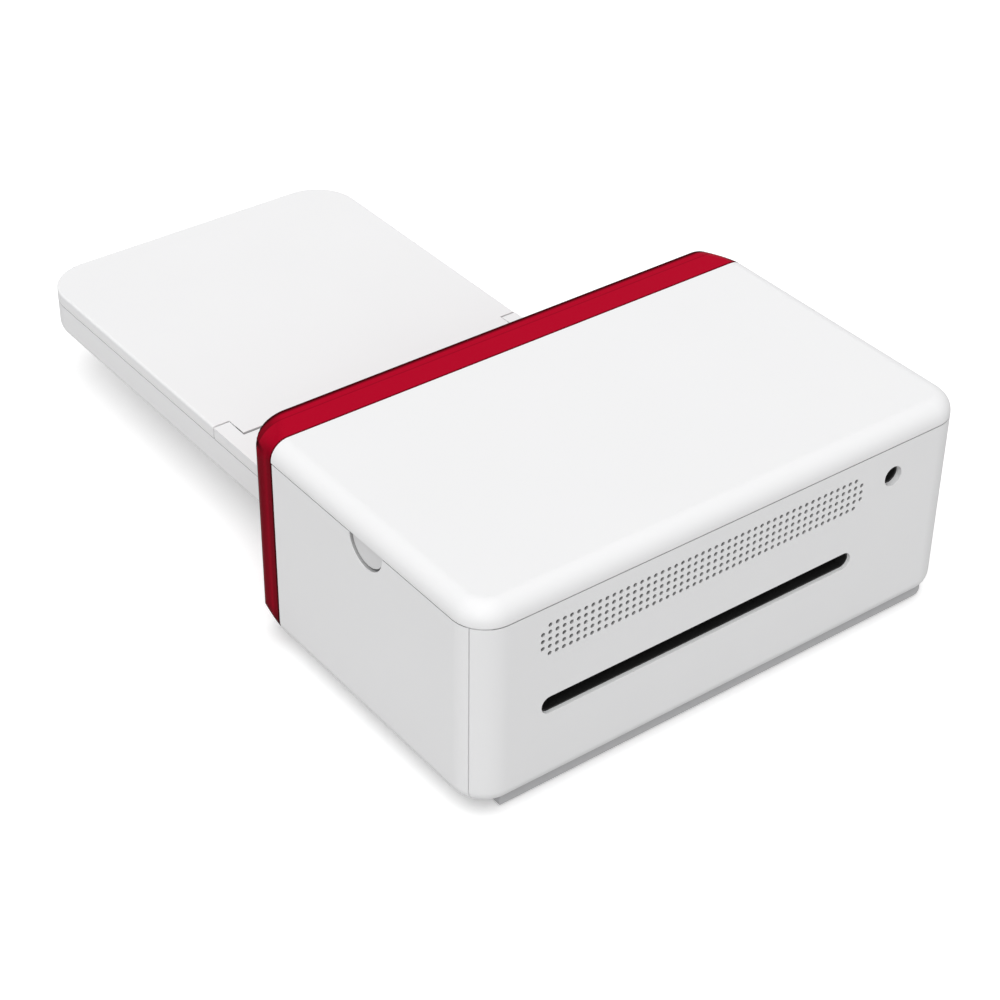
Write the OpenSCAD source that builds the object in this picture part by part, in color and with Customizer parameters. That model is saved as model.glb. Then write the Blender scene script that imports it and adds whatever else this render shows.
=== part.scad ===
// Compact dye-film photo printer with a paper cassette, a side cartridge door
// and a rear paper slot. Millimetres, +Z up. The origin lies on the table, under
// the middle of the printer body. +Y is the face with the slot, the vents and
// the power inlet; the cassette stands out towards -Y; +X is the side with the
// cartridge door.

/* [Body] */
// Width of the printer body
body_w = 166.6; // [166:0.2:178]
// Depth of the printer body, red front cap included
body_d = 103.2; // [102:0.2:110]
// Height of the top above the table
body_h = 68.8; // [68.4:0.2:74]
// Height of the body's underside above the table
base_z = 4.5; // [4:0.1:4.8]
// Radius of the two upright rear corners
corner_r = 10; // [9:0.5:12]
// Radius of the long lower edges
bottom_r = 4.7; // [4.4:0.1:5.2]
// Wall thickness of the moulded shells
wall = 2.2; // [1.8:0.1:2.4]
// Visible seam between two shells
seam = 0.3; // [0.2:0.05:0.4]

/* [Top cover] */
// Height of the top cover above its seam
cover_h = 6.2; // [6.1:0.1:6.6]
// Radius of the cover's rounded edge
cover_edge = 5.7; // [4.4:0.1:5.7]

/* [Front cap] */
// Depth of the red cap
cap_t = 11.6; // [11:0.2:13]
// Thickness of the cap's front panel
cap_front = 3; // [2.4:0.2:3.4]
// Radius of the cap's upright front edges
cap_r = 6; // [4:0.5:7]

/* [Paper path] */
// Middle of the paper path, measured from the middle of the body
path_x = 9.3; // [8.5:0.1:10]
// Width of the paper
paper_w = 101.6; // [98:0.2:103]
// Height of the paper plane
path_z = 31; // [30.8:0.1:31.4]

/* [Exit slot and vents] */
// Length of the paper exit slot
slot_w = 106.6; // [104:0.2:108]
// Height of the paper exit slot
slot_h = 5.4; // [5:0.1:5.8]
// How far the black guide sits back in the slot
slot_recess = 1; // [0.6:0.1:1.4]
// Middle of the field of vents
vent_x = 8.7; // [8:0.1:9.6]
// Diameter of one vent hole
vent_d = 1.3; // [1:0.05:1.4]
// Distance from hole to hole
vent_pitch = 2.25; // [2:0.05:2.3]
// Number of vent columns
vent_cols = 49; // [41:2:49]
// Number of vent rows
vent_rows = 5; // [3:2:5]
// Height of the middle row of vents
vent_z = 52.2; // [51.6:0.2:53]

/* [Power inlet] */
// Middle of the power inlet
jack_x = -57.2; // [-59:0.2:-56]
// Height of the power inlet
jack_z = 52.6; // [51:0.2:54]
// Radius of the round hole for the plug
jack_r = 3.1; // [3:0.1:3.6]

/* [Cassette] */
// Width of the cassette
cass_w = 110.6; // [108.6:0.2:111]
// Far end of the cassette, in front of the front cap
cass_out = 157.8; // [150:0.5:165]
// Length of the cassette that sits inside the printer
cass_in = 26.6; // [26:0.2:27]
// Height of the cassette's underside above the table
cass_z = 17; // [16.6:0.1:17.4]
// Height of the cassette's seam above its underside
tray_h = 11; // [10.6:0.1:11.2]
// Height of the lid above the seam
lid_h = 4.1; // [4:0.05:4.3]
// Radius of the far corners
cass_r = 15; // [12:0.5:17]
// Floor thickness of the tray
tray_floor = 2; // [1.6:0.1:2.2]
// Distance from the front cap to the lid's pivot
pivot_out = 47.5; // [45:0.5:52]
// Width of each fixed ear beside the lid
ear_w = 5.3; // [4.8:0.1:6]
// Upward tilt of the sprung lift plate, in degrees
lift_tilt = 2.2; // [1.8:0.1:2.2]

/* [Cartridge and head] */
// Radius of a full ribbon roll
roll_r = 8.5; // [8:0.1:8.6]
// Radius of the part-wound take-up roll
takeup_r = 5.8; // [5.4:0.1:6.5]
// Height of both spool axes
spool_z = 42.5; // [42.4:0.1:42.6]
// Lift of the print head at rest, in degrees
head_lift = 6.5; // [6:0.1:6.6]

/* [Rollers and gears] */
// Radius of the feed roller
feed_r = 4; // [3.6:0.1:4]
// Radius of the platen roller
platen_r = 6; // [5.5:0.1:6.2]
// Radius of the pinch roller
pinch_r = 3; // [2.6:0.1:3]
// Radius of the pick-up tyres
pickup_r = 7; // [6.6:0.1:7]
// Gear module
gear_m = 0.8; // [0.8:0.01:0.82]
// Width of the gears
gear_w = 4; // [3:0.5:5]
// Running clearance of a shaft in its hole, on the radius
run = 0.05; // [0.03:0.01:0.08]

/* [Door] */
// Depth of the half-round finger notch
notch_r = 7.5; // [6:0.5:8]
// Middle of the notch along the door
notch_y = 4.3; // [2:0.1:6]

/* [Button] */
// Place of the power button across the front
button_x = -66.5; // [-67:0.5:-64]
// Height of the power button
button_z = 34; // [30:1:38]
// Radius of the power button
button_r = 5; // [4:0.5:6]

/* [Hidden] */
$fn = 64;
eps = 0.01;

// Shells
hw = body_w / 2;
y_rear = body_d / 2;
y_front = -body_d / 2;
y_cap = y_front + cap_t;
seam_z = body_h - cover_h;
floor_z = base_z + wall;
bulk_t = 1.6;
y_bulk = y_cap + bulk_t;

// Door and its hinge: the axis is the centre of the lower edge's arc
hinge_x = hw - bottom_r;
hinge_z = base_z + bottom_r;
sweep_r = bottom_r + seam;
floor_end = hinge_x - sweep_r;
door_y0 = y_cap + seam;
door_y1 = y_rear - 5;
rod_r = 1.5;
hub_r = bottom_r - wall - seam;
knuckle_l = 4;
rear_rib_y = door_y1 - 9;
pad_back = 0.8;
pad_gap = 0.6;

// Base plate and feet
plate_inset = 3.5;
plate_z = 0.5;
plate_x1 = floor_end - 0.8;
foot_r = 5;
screw_r = 1.2;
boss_r = 2.8;

// Chassis
chassis_gap = cass_w / 2 + 1.7;
plate_t = 1.2;
xl = path_x - chassis_gap;
xr = path_x + chassis_gap;
chassis_y0 = y_bulk;
chassis_y1 = y_rear - wall - 1;
chassis_z1 = 65.3;

// Rollers
feed_y = -18;
feed_z = path_z - feed_r;
nip = 0.3;
pinch_z = path_z + nip + pinch_r;
platen_y = 14;
platen_z = path_z - platen_r;
journal_r = 2;

// Gears: the pick-up gear hangs on the feed gear, the motor on the pick-up gear
feed_teeth = 20;
pickup_teeth = 18;
pinion_teeth = 12;
idler_teeth = 16;
takeup_teeth = 18;
function pitch_r(z) = gear_m * z / 2;
gear_x = xl - plate_t - 1 - gear_w;
pickup_z = cass_z + tray_h + lid_h - 2.8 + pickup_r;
feed_pickup = pitch_r(feed_teeth) + pitch_r(pickup_teeth);
pickup_y = feed_y - sqrt(pow(feed_pickup, 2) - pow(pickup_z - feed_z, 2));
motor_turn = 65;
motor_arm = pitch_r(pickup_teeth) + pitch_r(pinion_teeth);
motor_y = pickup_y + motor_arm * cos(motor_turn);
motor_z = pickup_z + motor_arm * sin(motor_turn);

// Cartridge
takeup_y = -3.5;
supply_y = 32;
core_r = 4.5;
frame_in = roll_r + 0.5;
frame_out = frame_in + 1.2;
cart_x0 = xl + 1.1;
cart_x1 = xr - 1;
cart_t = 2;
grip_w = 26;
film_t = 0.2;
film_z = path_z + nip;
saddle_z1 = 34.8;

// Head, drawn pressed on the platen and then lifted about its pivot
head_py = 44;
head_pz = 57.3;
head_w = paper_w + 4;
head_z0 = film_z + film_t + 0.1;
bracket_z = 55.2;
bracket_t = 1.2;
cam_y = 20;
cam_r = 3.2;
cam_throw = (head_py - cam_y) * tan(head_lift) / 2;
cam_gap = 0.5;
cam_z = head_pz + (bracket_z + bracket_t - head_pz) / cos(head_lift)
  + (head_py - cam_y) * tan(head_lift) + cam_gap + cam_r - cam_throw;

// Cassette
cx = path_x;
cass_y0 = y_front - cass_out;
cass_y1 = y_front + cass_in;
tray_z1 = cass_z + tray_h;
lid_z1 = tray_z1 + lid_h;
tray_wall = (cass_w - paper_w) / 2 - 0.7;
pivot_y = y_front - pivot_out;
pivot_z = lid_z1 - 1.8;
pivot_r = 1;
lip_y = pivot_y + 4.3;
tongue_y = pivot_y + 3.8;
ear_y = pivot_y - 3.8;
ear_gap = 0.5;
cover_y1 = pickup_y - pickup_r - 0.8;
tray_edge = 3;
lift_y = cass_y0 + cass_r + 1;
lift_z = cass_z + tray_floor + 1.7;

// Function: third corner of a triangle over the side p-q, with sides a and b
function apex(p, q, a, b) =
  let (
    d = norm(q - p),
    u = (q - p) / d,
    s = (a * a - b * b + d * d) / (2 * d),
    h = sqrt(a * a - s * s)
  )
  p + u * s + [-u[1], u[0]] * h;

motor_p = [motor_y, motor_z];
takeup_p = [takeup_y, spool_z];
idler_p = apex(
  motor_p, takeup_p,
  pitch_r(pinion_teeth) + pitch_r(idler_teeth),
  pitch_r(idler_teeth) + pitch_r(takeup_teeth)
);

// Gear phase that puts a gap of gear b on a tooth of gear a
function frac(x) = x - floor(x);
function heading(p, q) = atan2(q[1] - p[1], q[0] - p[0]);
function mesh_phase(p, q, za, zb, phase_a) =
  let (dir = heading(p, q), fa = frac((dir - phase_a) * za / 360))
  dir + 180 - (0.5 - fa) * 360 / zb;

feed_p = [feed_y, feed_z];
pickup_p = [pickup_y, pickup_z];
feed_phase = 0;
pickup_phase = mesh_phase(feed_p, pickup_p, feed_teeth, pickup_teeth, feed_phase);
pinion_phase = mesh_phase(pickup_p, motor_p, pickup_teeth, pinion_teeth, pickup_phase);
idler_phase = mesh_phase(motor_p, idler_p, pinion_teeth, idler_teeth, pinion_phase);
takeup_phase = mesh_phase(idler_p, takeup_p, idler_teeth, takeup_teeth, idler_phase);

// ---------------------------------------------------------------- helpers

// Prism along X from x0 to x1; the section is drawn in Y and Z
module along_x(x0, x1) {
  translate([x0, 0, 0]) rotate([90, 0, 90]) linear_extrude(x1 - x0) children();
}

// Prism along Y from y0 to y1; the section is drawn in X and Z
module along_y(y0, y1) {
  translate([0, y1, 0]) rotate([90, 0, 0]) linear_extrude(y1 - y0) children();
}

// Round bar along X at a point of the Y-Z plane
module bar_x(x0, x1, p, r) {
  translate([x0, p[0], p[1]]) rotate([0, 90, 0]) cylinder(r = r, h = x1 - x0);
}

// Round bar along Y at a point of the X-Z plane
module bar_y(y0, y1, p, r) {
  translate([p[0], y0, p[1]]) rotate([-90, 0, 0]) cylinder(r = r, h = y1 - y0);
}

// Box between two corners
module span(lo, hi) {
  translate(lo) cube(hi - lo);
}

// Rectangle with one radius at its lower and one at its upper corners
module sleeve(w, z0, z1, r0, r1) {
  translate([-w / 2, z0 + r0]) square([w, z1 - z0 - r0 - r1]);
  if (r0 > 0) {
    translate([-w / 2 + r0, z0]) square([w - 2 * r0, r0]);
    for (s = [-1, 1]) translate([s * (w / 2 - r0), z0 + r0]) circle(r0);
  }
  if (r1 > 0) {
    translate([-w / 2 + r1, z1 - r1]) square([w - 2 * r1, r1]);
    for (s = [-1, 1]) translate([s * (w / 2 - r1), z1 - r1]) circle(r1);
  }
}

// Rim of a slab: u runs outward, the outer upper corner is round
module rim(reach, h, r) {
  intersection() {
    square([reach, h]);
    union() {
      square([reach, h - r]);
      square([reach - r, h]);
      translate([reach - r, h - r]) circle(r);
    }
  }
}

// Slab from y = 0, square end, to y = len, end with round corners and a round top edge
module slab(w, len, h, corner, edge) {
  inner = w / 2 - corner;
  translate([-inner, 0, 0]) cube([2 * inner, len - corner, h]);
  for (s = [0, 1]) mirror([s, 0, 0]) {
    translate([inner, len - corner, 0]) rotate([90, 0, 0])
      linear_extrude(len - corner) rim(corner, h, edge);
    translate([inner, len - corner, 0]) rotate_extrude(angle = 90) rim(corner, h, edge);
  }
  translate([-inner, len - corner, 0]) rotate([90, 0, 90])
    linear_extrude(2 * inner) rim(corner, h, edge);
}

// The same slab standing the other way: square end at y1, round end at y0
module slab_back(w, y0, y1, z0, h, corner, edge) {
  translate([cx, y1, z0]) mirror([0, 1, 0]) slab(w, y1 - y0, h, corner, edge);
}

// The slab upside down, its round edge at the bottom
module tub_back(w, y0, y1, z1, h, corner, edge) {
  translate([cx, y1, z1]) mirror([0, 1, 0]) mirror([0, 0, 1]) slab(w, y1 - y0, h, corner, edge);
}

// Tub of the body: upright rear corners, and a round lower edge at both sides and the rear
module body_block(inset, z0, z1) {
  translate([0, y_cap, z1]) mirror([0, 0, 1])
    slab(body_w - 2 * inset, y_rear - inset - y_cap, z1 - z0, corner_r - inset, bottom_r - inset);
}

// Stadium in X and Z
module pill(len, h) {
  translate([-(len - h) / 2, -h / 2]) square([len - h, h]);
  for (s = [-1, 1]) translate([s * (len - h) / 2, 0]) circle(h / 2);
}

// Involute gear: tooth count z, phase of one tooth
function involute(rb, r) = let (a = acos(rb / r)) tan(a) * 180 / PI - a;
function polar(r, a) = [r * cos(a), r * sin(a)];
pressure = 25;
backlash = 0.06;
module gear(z, phase) {
  rp = pitch_r(z);
  rb = rp * cos(pressure);
  ra = rp + gear_m * 0.95;
  rr = rp - gear_m * 1.25;
  half = 90 / z - backlash / rp * 180 / PI;
  foot = half + involute(rb, rp);
  steps = 4;
  flank = [for (i = [0:steps]) let (r = rb + (ra - rb) * i / steps) [r, foot - involute(rb, r)]];
  points = [
    for (k = [0:z - 1]) let (c = phase + k * 360 / z) each concat(
      [polar(rr, c - foot)],
      [for (f = flank) polar(f[0], c - f[1])],
      [for (i = [steps:-1:0]) polar(flank[i][0], c + flank[i][1])],
      [polar(rr, c + foot)]
    )
  ];
  polygon(points);
}

// Gear on the outside of the left plate, with a round boss towards the plate
module gear_on(p, z, phase, bore) {
  difference() {
    union() {
      translate([0, p[0], p[1]]) along_x(gear_x, gear_x + gear_w) gear(z, phase);
      bar_x(gear_x + gear_w - eps, gear_x + gear_w + 0.8, p, bore + 1.2);
    }
    if (bore > 0) bar_x(gear_x - 1, gear_x + gear_w + 2, p, bore);
  }
}

// ---------------------------------------------------------------- shells

vent_len = (vent_cols - 1) * vent_pitch + 5;
vent_h = (vent_rows - 1) * vent_pitch + 5;

// Plate section through the door hinge: a web with a hub on the rod's axis
module hinge_web() {
  difference() {
    union() {
      translate([floor_end - 4, base_z + 1]) square([4, hinge_z + 9 - base_z]);
      translate([floor_end - 4, hinge_z]) square([hinge_x + hub_r - floor_end + 4, 10]);
      translate([hinge_x, hinge_z]) circle(hub_r);
    }
    translate([hinge_x, hinge_z]) circle(rod_r);
  }
}

module swing_clear() {
  difference() {
    translate([hinge_x, hinge_z]) circle(sweep_r);
    translate([hinge_x - 20, hinge_z]) square([40, 40]);
    translate([hinge_x, hinge_z]) circle(hub_r);
  }
}

mouth_w = cass_w + 1.4;
mouth_z0 = cass_z - 0.7;
mouth_z1 = lid_z1 + 0.8;

module bulkhead() {
  difference() {
    along_y(y_cap, y_bulk) difference() {
      sleeve(body_w - 2 * wall - 2 * seam, base_z + 0.5, seam_z, hub_r, 0);
      translate([path_x - mouth_w / 2, mouth_z0 - 6]) square([mouth_w, mouth_z1 - mouth_z0 + 6]);
      translate([hinge_x, hinge_z]) circle(rod_r);
      swing_clear();
      translate([floor_end, base_z]) square([hinge_x - floor_end, hinge_z - sweep_r - base_z + eps]);
    }
  }
}

module main_housing() {
  color("whitesmoke") {
    difference() {
      body_block(0, base_z, seam_z - seam / 2);
      body_block(wall, floor_z, seam_z + 5);
      // side opening for the door, up to its rear seam
      span([floor_end, y_cap - 1, base_z - 1], [hw + 1, door_y1 + seam, seam_z + 1]);
      // paper slot, vents' window and power inlet
      along_y(y_rear - 5, y_rear + 1) translate([path_x, path_z - 0.4]) pill(slot_w, slot_h);
      along_y(y_rear - 5, y_rear + 1) translate([vent_x, vent_z]) pill(vent_len, vent_h);
      bar_y(y_rear - 5, y_rear + 1, [jack_x, jack_z], jack_r);
      for (p = boss_spots) translate([p[0], p[1], base_z - 1]) cylinder(r = screw_r, h = 6);
    }
    bulkhead();
    // web that carries the rear end of the door's rod
    along_y(rear_rib_y, rear_rib_y + 2) hinge_web();
    // screw bosses on the floor
    for (p = boss_spots) translate([p[0], p[1], floor_z - eps]) difference() {
      cylinder(r = boss_r, h = 6);
      translate([0, 0, -1]) cylinder(r = screw_r, h = 8);
    }
    // posts for the main board
    for (p = board_posts)
      bar_x(-hw + wall - eps, board_x, p, 2.4);
    // posts for the button board
    for (s = [-1, 1]) bar_y(y_cap - 2, y_cap + eps, [button_x + s * 9, button_z], 2);
    // ring round the power inlet
    difference() {
      bar_y(y_rear - wall - 3, y_rear - wall + eps, [jack_x, jack_z], jack_r + 3);
      bar_y(y_rear - wall - 4, y_rear, [jack_x, jack_z], jack_r);
    }
    // upright ribs inside the rear wall, beside the vents
    for (x = [-70, -63])
      span([x, y_rear - wall - 1.6, floor_z - eps], [x + 1.2, y_rear - wall + eps, seam_z - 8]);
  }
}

boss_spots = [
  [-hw + 9, y_bulk + 8], [-hw + 9, y_rear - 12],
  [floor_end - boss_r, y_bulk + 8], [floor_end - boss_r, rear_rib_y - boss_r - 1.2]
];
board_x = -hw + wall + 3.2;
board_posts = [[-30, 18], [34, 18], [-30, 52], [34, 52]];

module vent_grille() {
  color("whitesmoke") along_y(y_rear - wall, y_rear) translate([vent_x, vent_z]) difference() {
    pill(vent_len, vent_h);
    for (c = [0:vent_cols - 1], r = [0:vent_rows - 1]) {
      u = (c - (vent_cols - 1) / 2) * vent_pitch;
      v = (r - (vent_rows - 1) / 2) * vent_pitch;
      over = abs(u) - (vent_len - vent_h) / 2;
      if (over <= 0 || norm([over, v]) < vent_h / 2 - vent_d)
        translate([u, v]) circle(vent_d / 2);
    }
  }
}

module top_cover() {
  color("white") {
    difference() {
      translate([0, y_cap, seam_z + seam / 2])
        slab(body_w, y_rear - y_cap, cover_h - seam / 2, corner_r, cover_edge);
      translate([0, y_cap + wall, seam_z - 1])
        slab(body_w - 2 * wall, y_rear - wall - y_cap - wall, cover_h - wall + 1, corner_r - wall,
          cover_edge - wall);
    }
    // tab behind the door's finger notch, with a half-round pad that stands in the notch
    span([hw - wall - seam - 1.6, notch_y - notch_r - 3, seam_z - notch_r - 1.2],
      [hw - wall - seam, notch_y + notch_r + 3, body_h - wall]);
    intersection() {
      bar_x(hw - wall - seam - eps, hw - pad_back, [notch_y, seam_z], notch_r - pad_gap);
      span([0, notch_y - notch_r, seam_z - notch_r], [hw, notch_y + notch_r, seam_z + 1]);
    }
    // stiffening ribs under the top
    for (x = [-58, -20, 30, 74]) span([x, y_cap + wall - eps, body_h - wall - 0.9],
      [x + 1.2, y_rear - wall - 2, body_h - wall + eps]);
  }
}

module front_cap() {
  color([0.72, 0.06, 0.16]) difference() {
    intersection() {
      along_y(y_front, y_cap) sleeve(body_w, base_z, body_h, bottom_r, cover_edge);
      translate([0, y_cap, base_z]) mirror([0, 1, 0]) slab(body_w, cap_t, body_h - base_z, cap_r, 0);
    }
    intersection() {
      along_y(y_front + cap_front, y_cap + 1)
        sleeve(body_w - 2 * wall, base_z + wall, body_h - wall, bottom_r - wall, cover_edge - wall);
      translate([0, y_cap + 1, base_z]) mirror([0, 1, 0])
        slab(body_w - 2 * wall, cap_t + 1 - cap_front, body_h - base_z, cap_r - wall, 0);
    }
    along_y(y_front - 1, y_front + cap_front + 1) translate([path_x, mouth_z0])
      sleeve(mouth_w, 0, mouth_z1 - mouth_z0, 1.5, 1.5);
    bar_y(y_front - 1, y_front + cap_front + 1, [button_x, button_z], button_r + 0.15);
    bar_y(y_front - 1, y_front + cap_front + 1, [button_x, button_z + 11], 1.2);
  }
}

module side_door() {
  color("whitesmoke") difference() {
    union() {
      difference() {
        intersection() {
          body_block(0, base_z, seam_z - seam / 2);
          span([hinge_x, door_y0, base_z - 1], [hw + 1, door_y1, seam_z + 1]);
        }
        intersection() {
          body_block(wall, base_z + wall, seam_z + 1);
          span([hinge_x - 1, door_y0 - 1, base_z], [hw, door_y1 + 1, seam_z + 1]);
        }
      }
      // knuckles on the rod
      for (y = [y_bulk + seam, rear_rib_y - seam - knuckle_l]) {
        along_y(y, y + knuckle_l) {
          translate([hinge_x, hinge_z]) circle(hub_r);
          intersection() {
            translate([hinge_x, hinge_z]) circle(bottom_r - 0.4);
            translate([hinge_x, hinge_z - bottom_r]) square(bottom_r);
          }
        }
      }
      // stiffening ribs on the inside
      for (y = [-28, 34]) span([hw - wall - 1.2, y, hinge_z + 6], [hw - wall + eps, y + 1.4, seam_z - 9]);
    }
    translate([hw - wall - 2, notch_y, seam_z]) rotate([0, 90, 0]) cylinder(r = notch_r, h = wall + 4);
    bar_y(door_y0 - 1, door_y1 + 1, [hinge_x, hinge_z], rod_r + run);
  }
}

module door_hinge_rod() {
  color("silver") bar_y(y_cap + 0.2, rear_rib_y + 2, [hinge_x, hinge_z], rod_r);
}

module plate_block() {
  w = body_w - 2 * plate_inset;
  intersection() {
    translate([0, 0, plate_z]) union() {
      slab(w, y_rear - plate_inset, base_z - plate_z, corner_r - plate_inset, 0);
      translate([0, eps, 0]) mirror([0, 1, 0])
        slab(w, -y_front - plate_inset, base_z - plate_z, cap_r, 0);
    }
    span([-hw, y_front, plate_z - 1], [plate_x1, y_rear, base_z + 1]);
  }
}

// four feet near the corners and one under the middle
foot_spots = concat(
  [for (x = [-hw + 20, plate_x1 - 10], y = [y_front + 13, y_rear - 13]) [x, y]],
  [[0, 0]]
);

module base_plate() {
  color([0.72, 0.72, 0.73]) difference() {
    plate_block();
    for (p = boss_spots) translate([p[0], p[1], 0]) {
      cylinder(r = screw_r + 0.3, h = base_z + 1);
      cylinder(r = 2.6, h = plate_z + 1.5);
    }
    for (p = foot_spots) translate([p[0], p[1], 0]) cylinder(r = foot_r, h = plate_z + 0.8);
  }
}

module rubber_feet() {
  color([0.15, 0.15, 0.15]) for (p = foot_spots)
    translate([p[0], p[1], 0]) cylinder(r = foot_r, h = plate_z + 0.8);
}

module screw(len, head_r, head_h, shank_r) {
  difference() {
    union() {
      cylinder(r = head_r, h = head_h);
      cylinder(r = shank_r, h = len);
    }
    for (a = [0, 90])
      rotate([0, 0, a]) translate([-head_r * 0.6, -0.25, -1]) cube([head_r * 1.2, 0.5, 1.6]);
  }
}

module base_screws() {
  color("silver") for (p = boss_spots) translate([p[0], p[1], plate_z + 0.3]) screw(9, 2.3, 1.2, screw_r);
}

// ---------------------------------------------------------------- rear inlet and slot

jack_y1 = y_rear - 1.8;
jack_y0 = jack_y1 - 12;
module dc_jack() {
  color([0.08, 0.08, 0.08]) difference() {
    union() {
      bar_y(jack_y0 + 2, jack_y1, [jack_x, jack_z], jack_r);
      span([jack_x - 4.5, jack_y0, jack_z - 5.5], [jack_x + 4.5, y_rear - wall - 3, jack_z + 5.5]);
    }
    bar_y(jack_y0 + 3, jack_y1 + 1, [jack_x, jack_z], jack_r - 0.6);
  }
}

module dc_pin() {
  color("silver") bar_y(jack_y0 + 3, jack_y1 - 1.5, [jack_x, jack_z], 0.9);
}

guide_w = 2 * chassis_gap - 0.6;
chute_y = supply_y + frame_out + 0.8;
shelf_y = platen_y + platen_r + 2.5;
module exit_guide() {
  color([0.05, 0.05, 0.05]) difference() {
    union() {
      // body of the chute between the side plates
      span([path_x - guide_w / 2, chute_y, path_z - 5],
        [path_x + guide_w / 2, y_rear - wall, path_z + 3.6]);
      // shelf under the cartridge, with runners for the paper
      span([path_x - guide_w / 2, shelf_y, path_z - 5],
        [path_x + guide_w / 2, chute_y + eps, path_z - 2.6]);
      for (i = [-4:4]) span([path_x + i * 12 - 0.6, shelf_y, path_z - 2.7],
        [path_x + i * 12 + 0.6, chute_y + eps, path_z - 0.7]);
      // nose in the wall's slot
      along_y(y_rear - wall - eps, y_rear - slot_recess) translate([path_x, path_z - 0.4])
        pill(slot_w - 0.2, slot_h - 0.2);
    }
    // passage, flared towards the inside
    along_y(20, y_rear) translate([path_x, path_z - 0.4]) pill(slot_w - 1.1, slot_h - 1.1);
    along_x(path_x - (slot_w - 6) / 2, path_x + (slot_w - 6) / 2) polygon([
      [chute_y - 1, path_z - 2.5], [chute_y - 1, path_z + 3.2],
        [chute_y + 4, path_z + 1.2], [chute_y + 4, path_z - 2]
    ]);
    // weight-saving pockets under the passage
    for (i = [-4:4]) span([path_x + i * 12 - 5, 26, path_z - 6],
      [path_x + i * 12 + 5, y_rear - wall - 2, path_z - 3.6]);
  }
}

// ---------------------------------------------------------------- button and boards

module power_button() {
  color([0.85, 0.85, 0.86]) {
    difference() {
      bar_y(y_front - 0.5, y_front + cap_front + 0.3, [button_x, button_z], button_r);
      bar_y(y_front - 1.5, y_front - 0.3, [button_x, button_z], button_r - 1.2);
    }
    bar_y(y_front + cap_front + 0.2, y_front + cap_front + 1.2, [button_x, button_z], button_r + 0.9);
    bar_y(y_front + cap_front + 1, switch_y - 0.6, [button_x, button_z], 1.6);
  }
}

switch_y = y_cap - 2 - 1.2 - 1.6;
module button_board() {
  color([0.08, 0.35, 0.16]) {
    span([button_x - 12, y_cap - 3.2, button_z - 8], [button_x + 12, y_cap - 2, button_z + 16]);
    span([button_x - 3, switch_y, button_z - 3], [button_x + 3, y_cap - 3.1, button_z + 3]);
  }
}

module status_light() {
  color([0.9, 0.95, 1]) union() {
    bar_y(y_front + 0.1, y_cap - 3.2, [button_x, button_z + 11], 1.1);
    bar_y(y_front + cap_front + 0.2, y_front + cap_front + 1, [button_x, button_z + 11], 1.9);
  }
}

module main_board() {
  color([0.08, 0.35, 0.16]) {
    span([board_x, board_posts[0][0] - 5, board_posts[0][1] - 4],
      [board_x + 1.6, board_posts[1][0] + 5, board_posts[2][1] + 4]);
    // chips, capacitors and sockets
    for (c = [[-20, 34, 12, 12, 1.6], [2, 38, 14, 10, 1.6],
      [18, 24, 8, 8, 1.4], [-4, 20, 10, 6, 4], [24, 44, 6, 10, 6]])
      span([board_x + 1.5, c[0], c[1]], [board_x + 1.6 + c[4], c[0] + c[2], c[1] + c[3]]);
    for (c = [[-28, 24], [-20, 24], [14, 50]]) bar_x(board_x + 1.5, board_x + 10, c, 3);
  }
}

// ---------------------------------------------------------------- cassette

cav_w = cass_w - 2 * tray_wall;
module cassette_tray() {
  color("white") difference() {
    tub_back(cass_w, cass_y0, cass_y1, tray_z1 - seam / 2, tray_h - seam / 2, cass_r, tray_edge);
    tub_back(cav_w, cass_y0 + tray_wall, cass_y1 - tray_wall, tray_z1 + 1, tray_h + 1 - tray_floor,
      cass_r - tray_wall, 1);
    // low inner end, so that the paper can leave
    span([cx - cav_w / 2, cass_y1 - tray_wall - 1, tray_z1 - 1.2],
      [cx + cav_w / 2, cass_y1 + 1, tray_z1 + 1]);
    // bearing holes of the lift plate
    bar_x(cx - cav_w / 2 - 2, cx + cav_w / 2 + 2, [lift_y, lift_z], 1 + run);
    // shallow grip under the far end
    along_x(cx - 20, cx + 20) translate([cass_y0 + 14, cass_z - 6]) circle(7);
  }
}

module cassette_cover() {
  color("white") {
    difference() {
      union() {
        span([cx - cass_w / 2, lip_y, tray_z1 + seam / 2], [cx + cass_w / 2, cover_y1, lid_z1 - 0.1]);
        for (s = [-1, 1]) span(
          [cx + (s > 0 ? cass_w / 2 - ear_w : -cass_w / 2), ear_y, tray_z1 + seam / 2],
          [cx + (s > 0 ? cass_w / 2 : -cass_w / 2 + ear_w), lip_y + eps, lid_z1 - 0.1]);
        // side rails that carry on to the inner end
        for (s = [-1, 1]) span(
          [cx + (s > 0 ? cav_w / 2 : -cass_w / 2), cover_y1 - eps, tray_z1 + seam / 2],
          [cx + (s > 0 ? cass_w / 2 : -cav_w / 2), cass_y1, tray_z1 + 2]);
      }
      // hollow underside
      span([cx - cav_w / 2, lip_y + 2, tray_z1 - 1], [cx + cav_w / 2, cover_y1 + 1, lid_z1 - 2]);
    }
    // pivot pins for the lid
    for (s = [-1, 1]) bar_x(
      cx + (s > 0 ? cass_w / 2 - ear_w - 3 : -cass_w / 2 + ear_w - eps),
      cx + (s > 0 ? cass_w / 2 - ear_w + eps : -cass_w / 2 + ear_w + 3),
      [pivot_y, pivot_z], pivot_r);
  }
}

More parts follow.
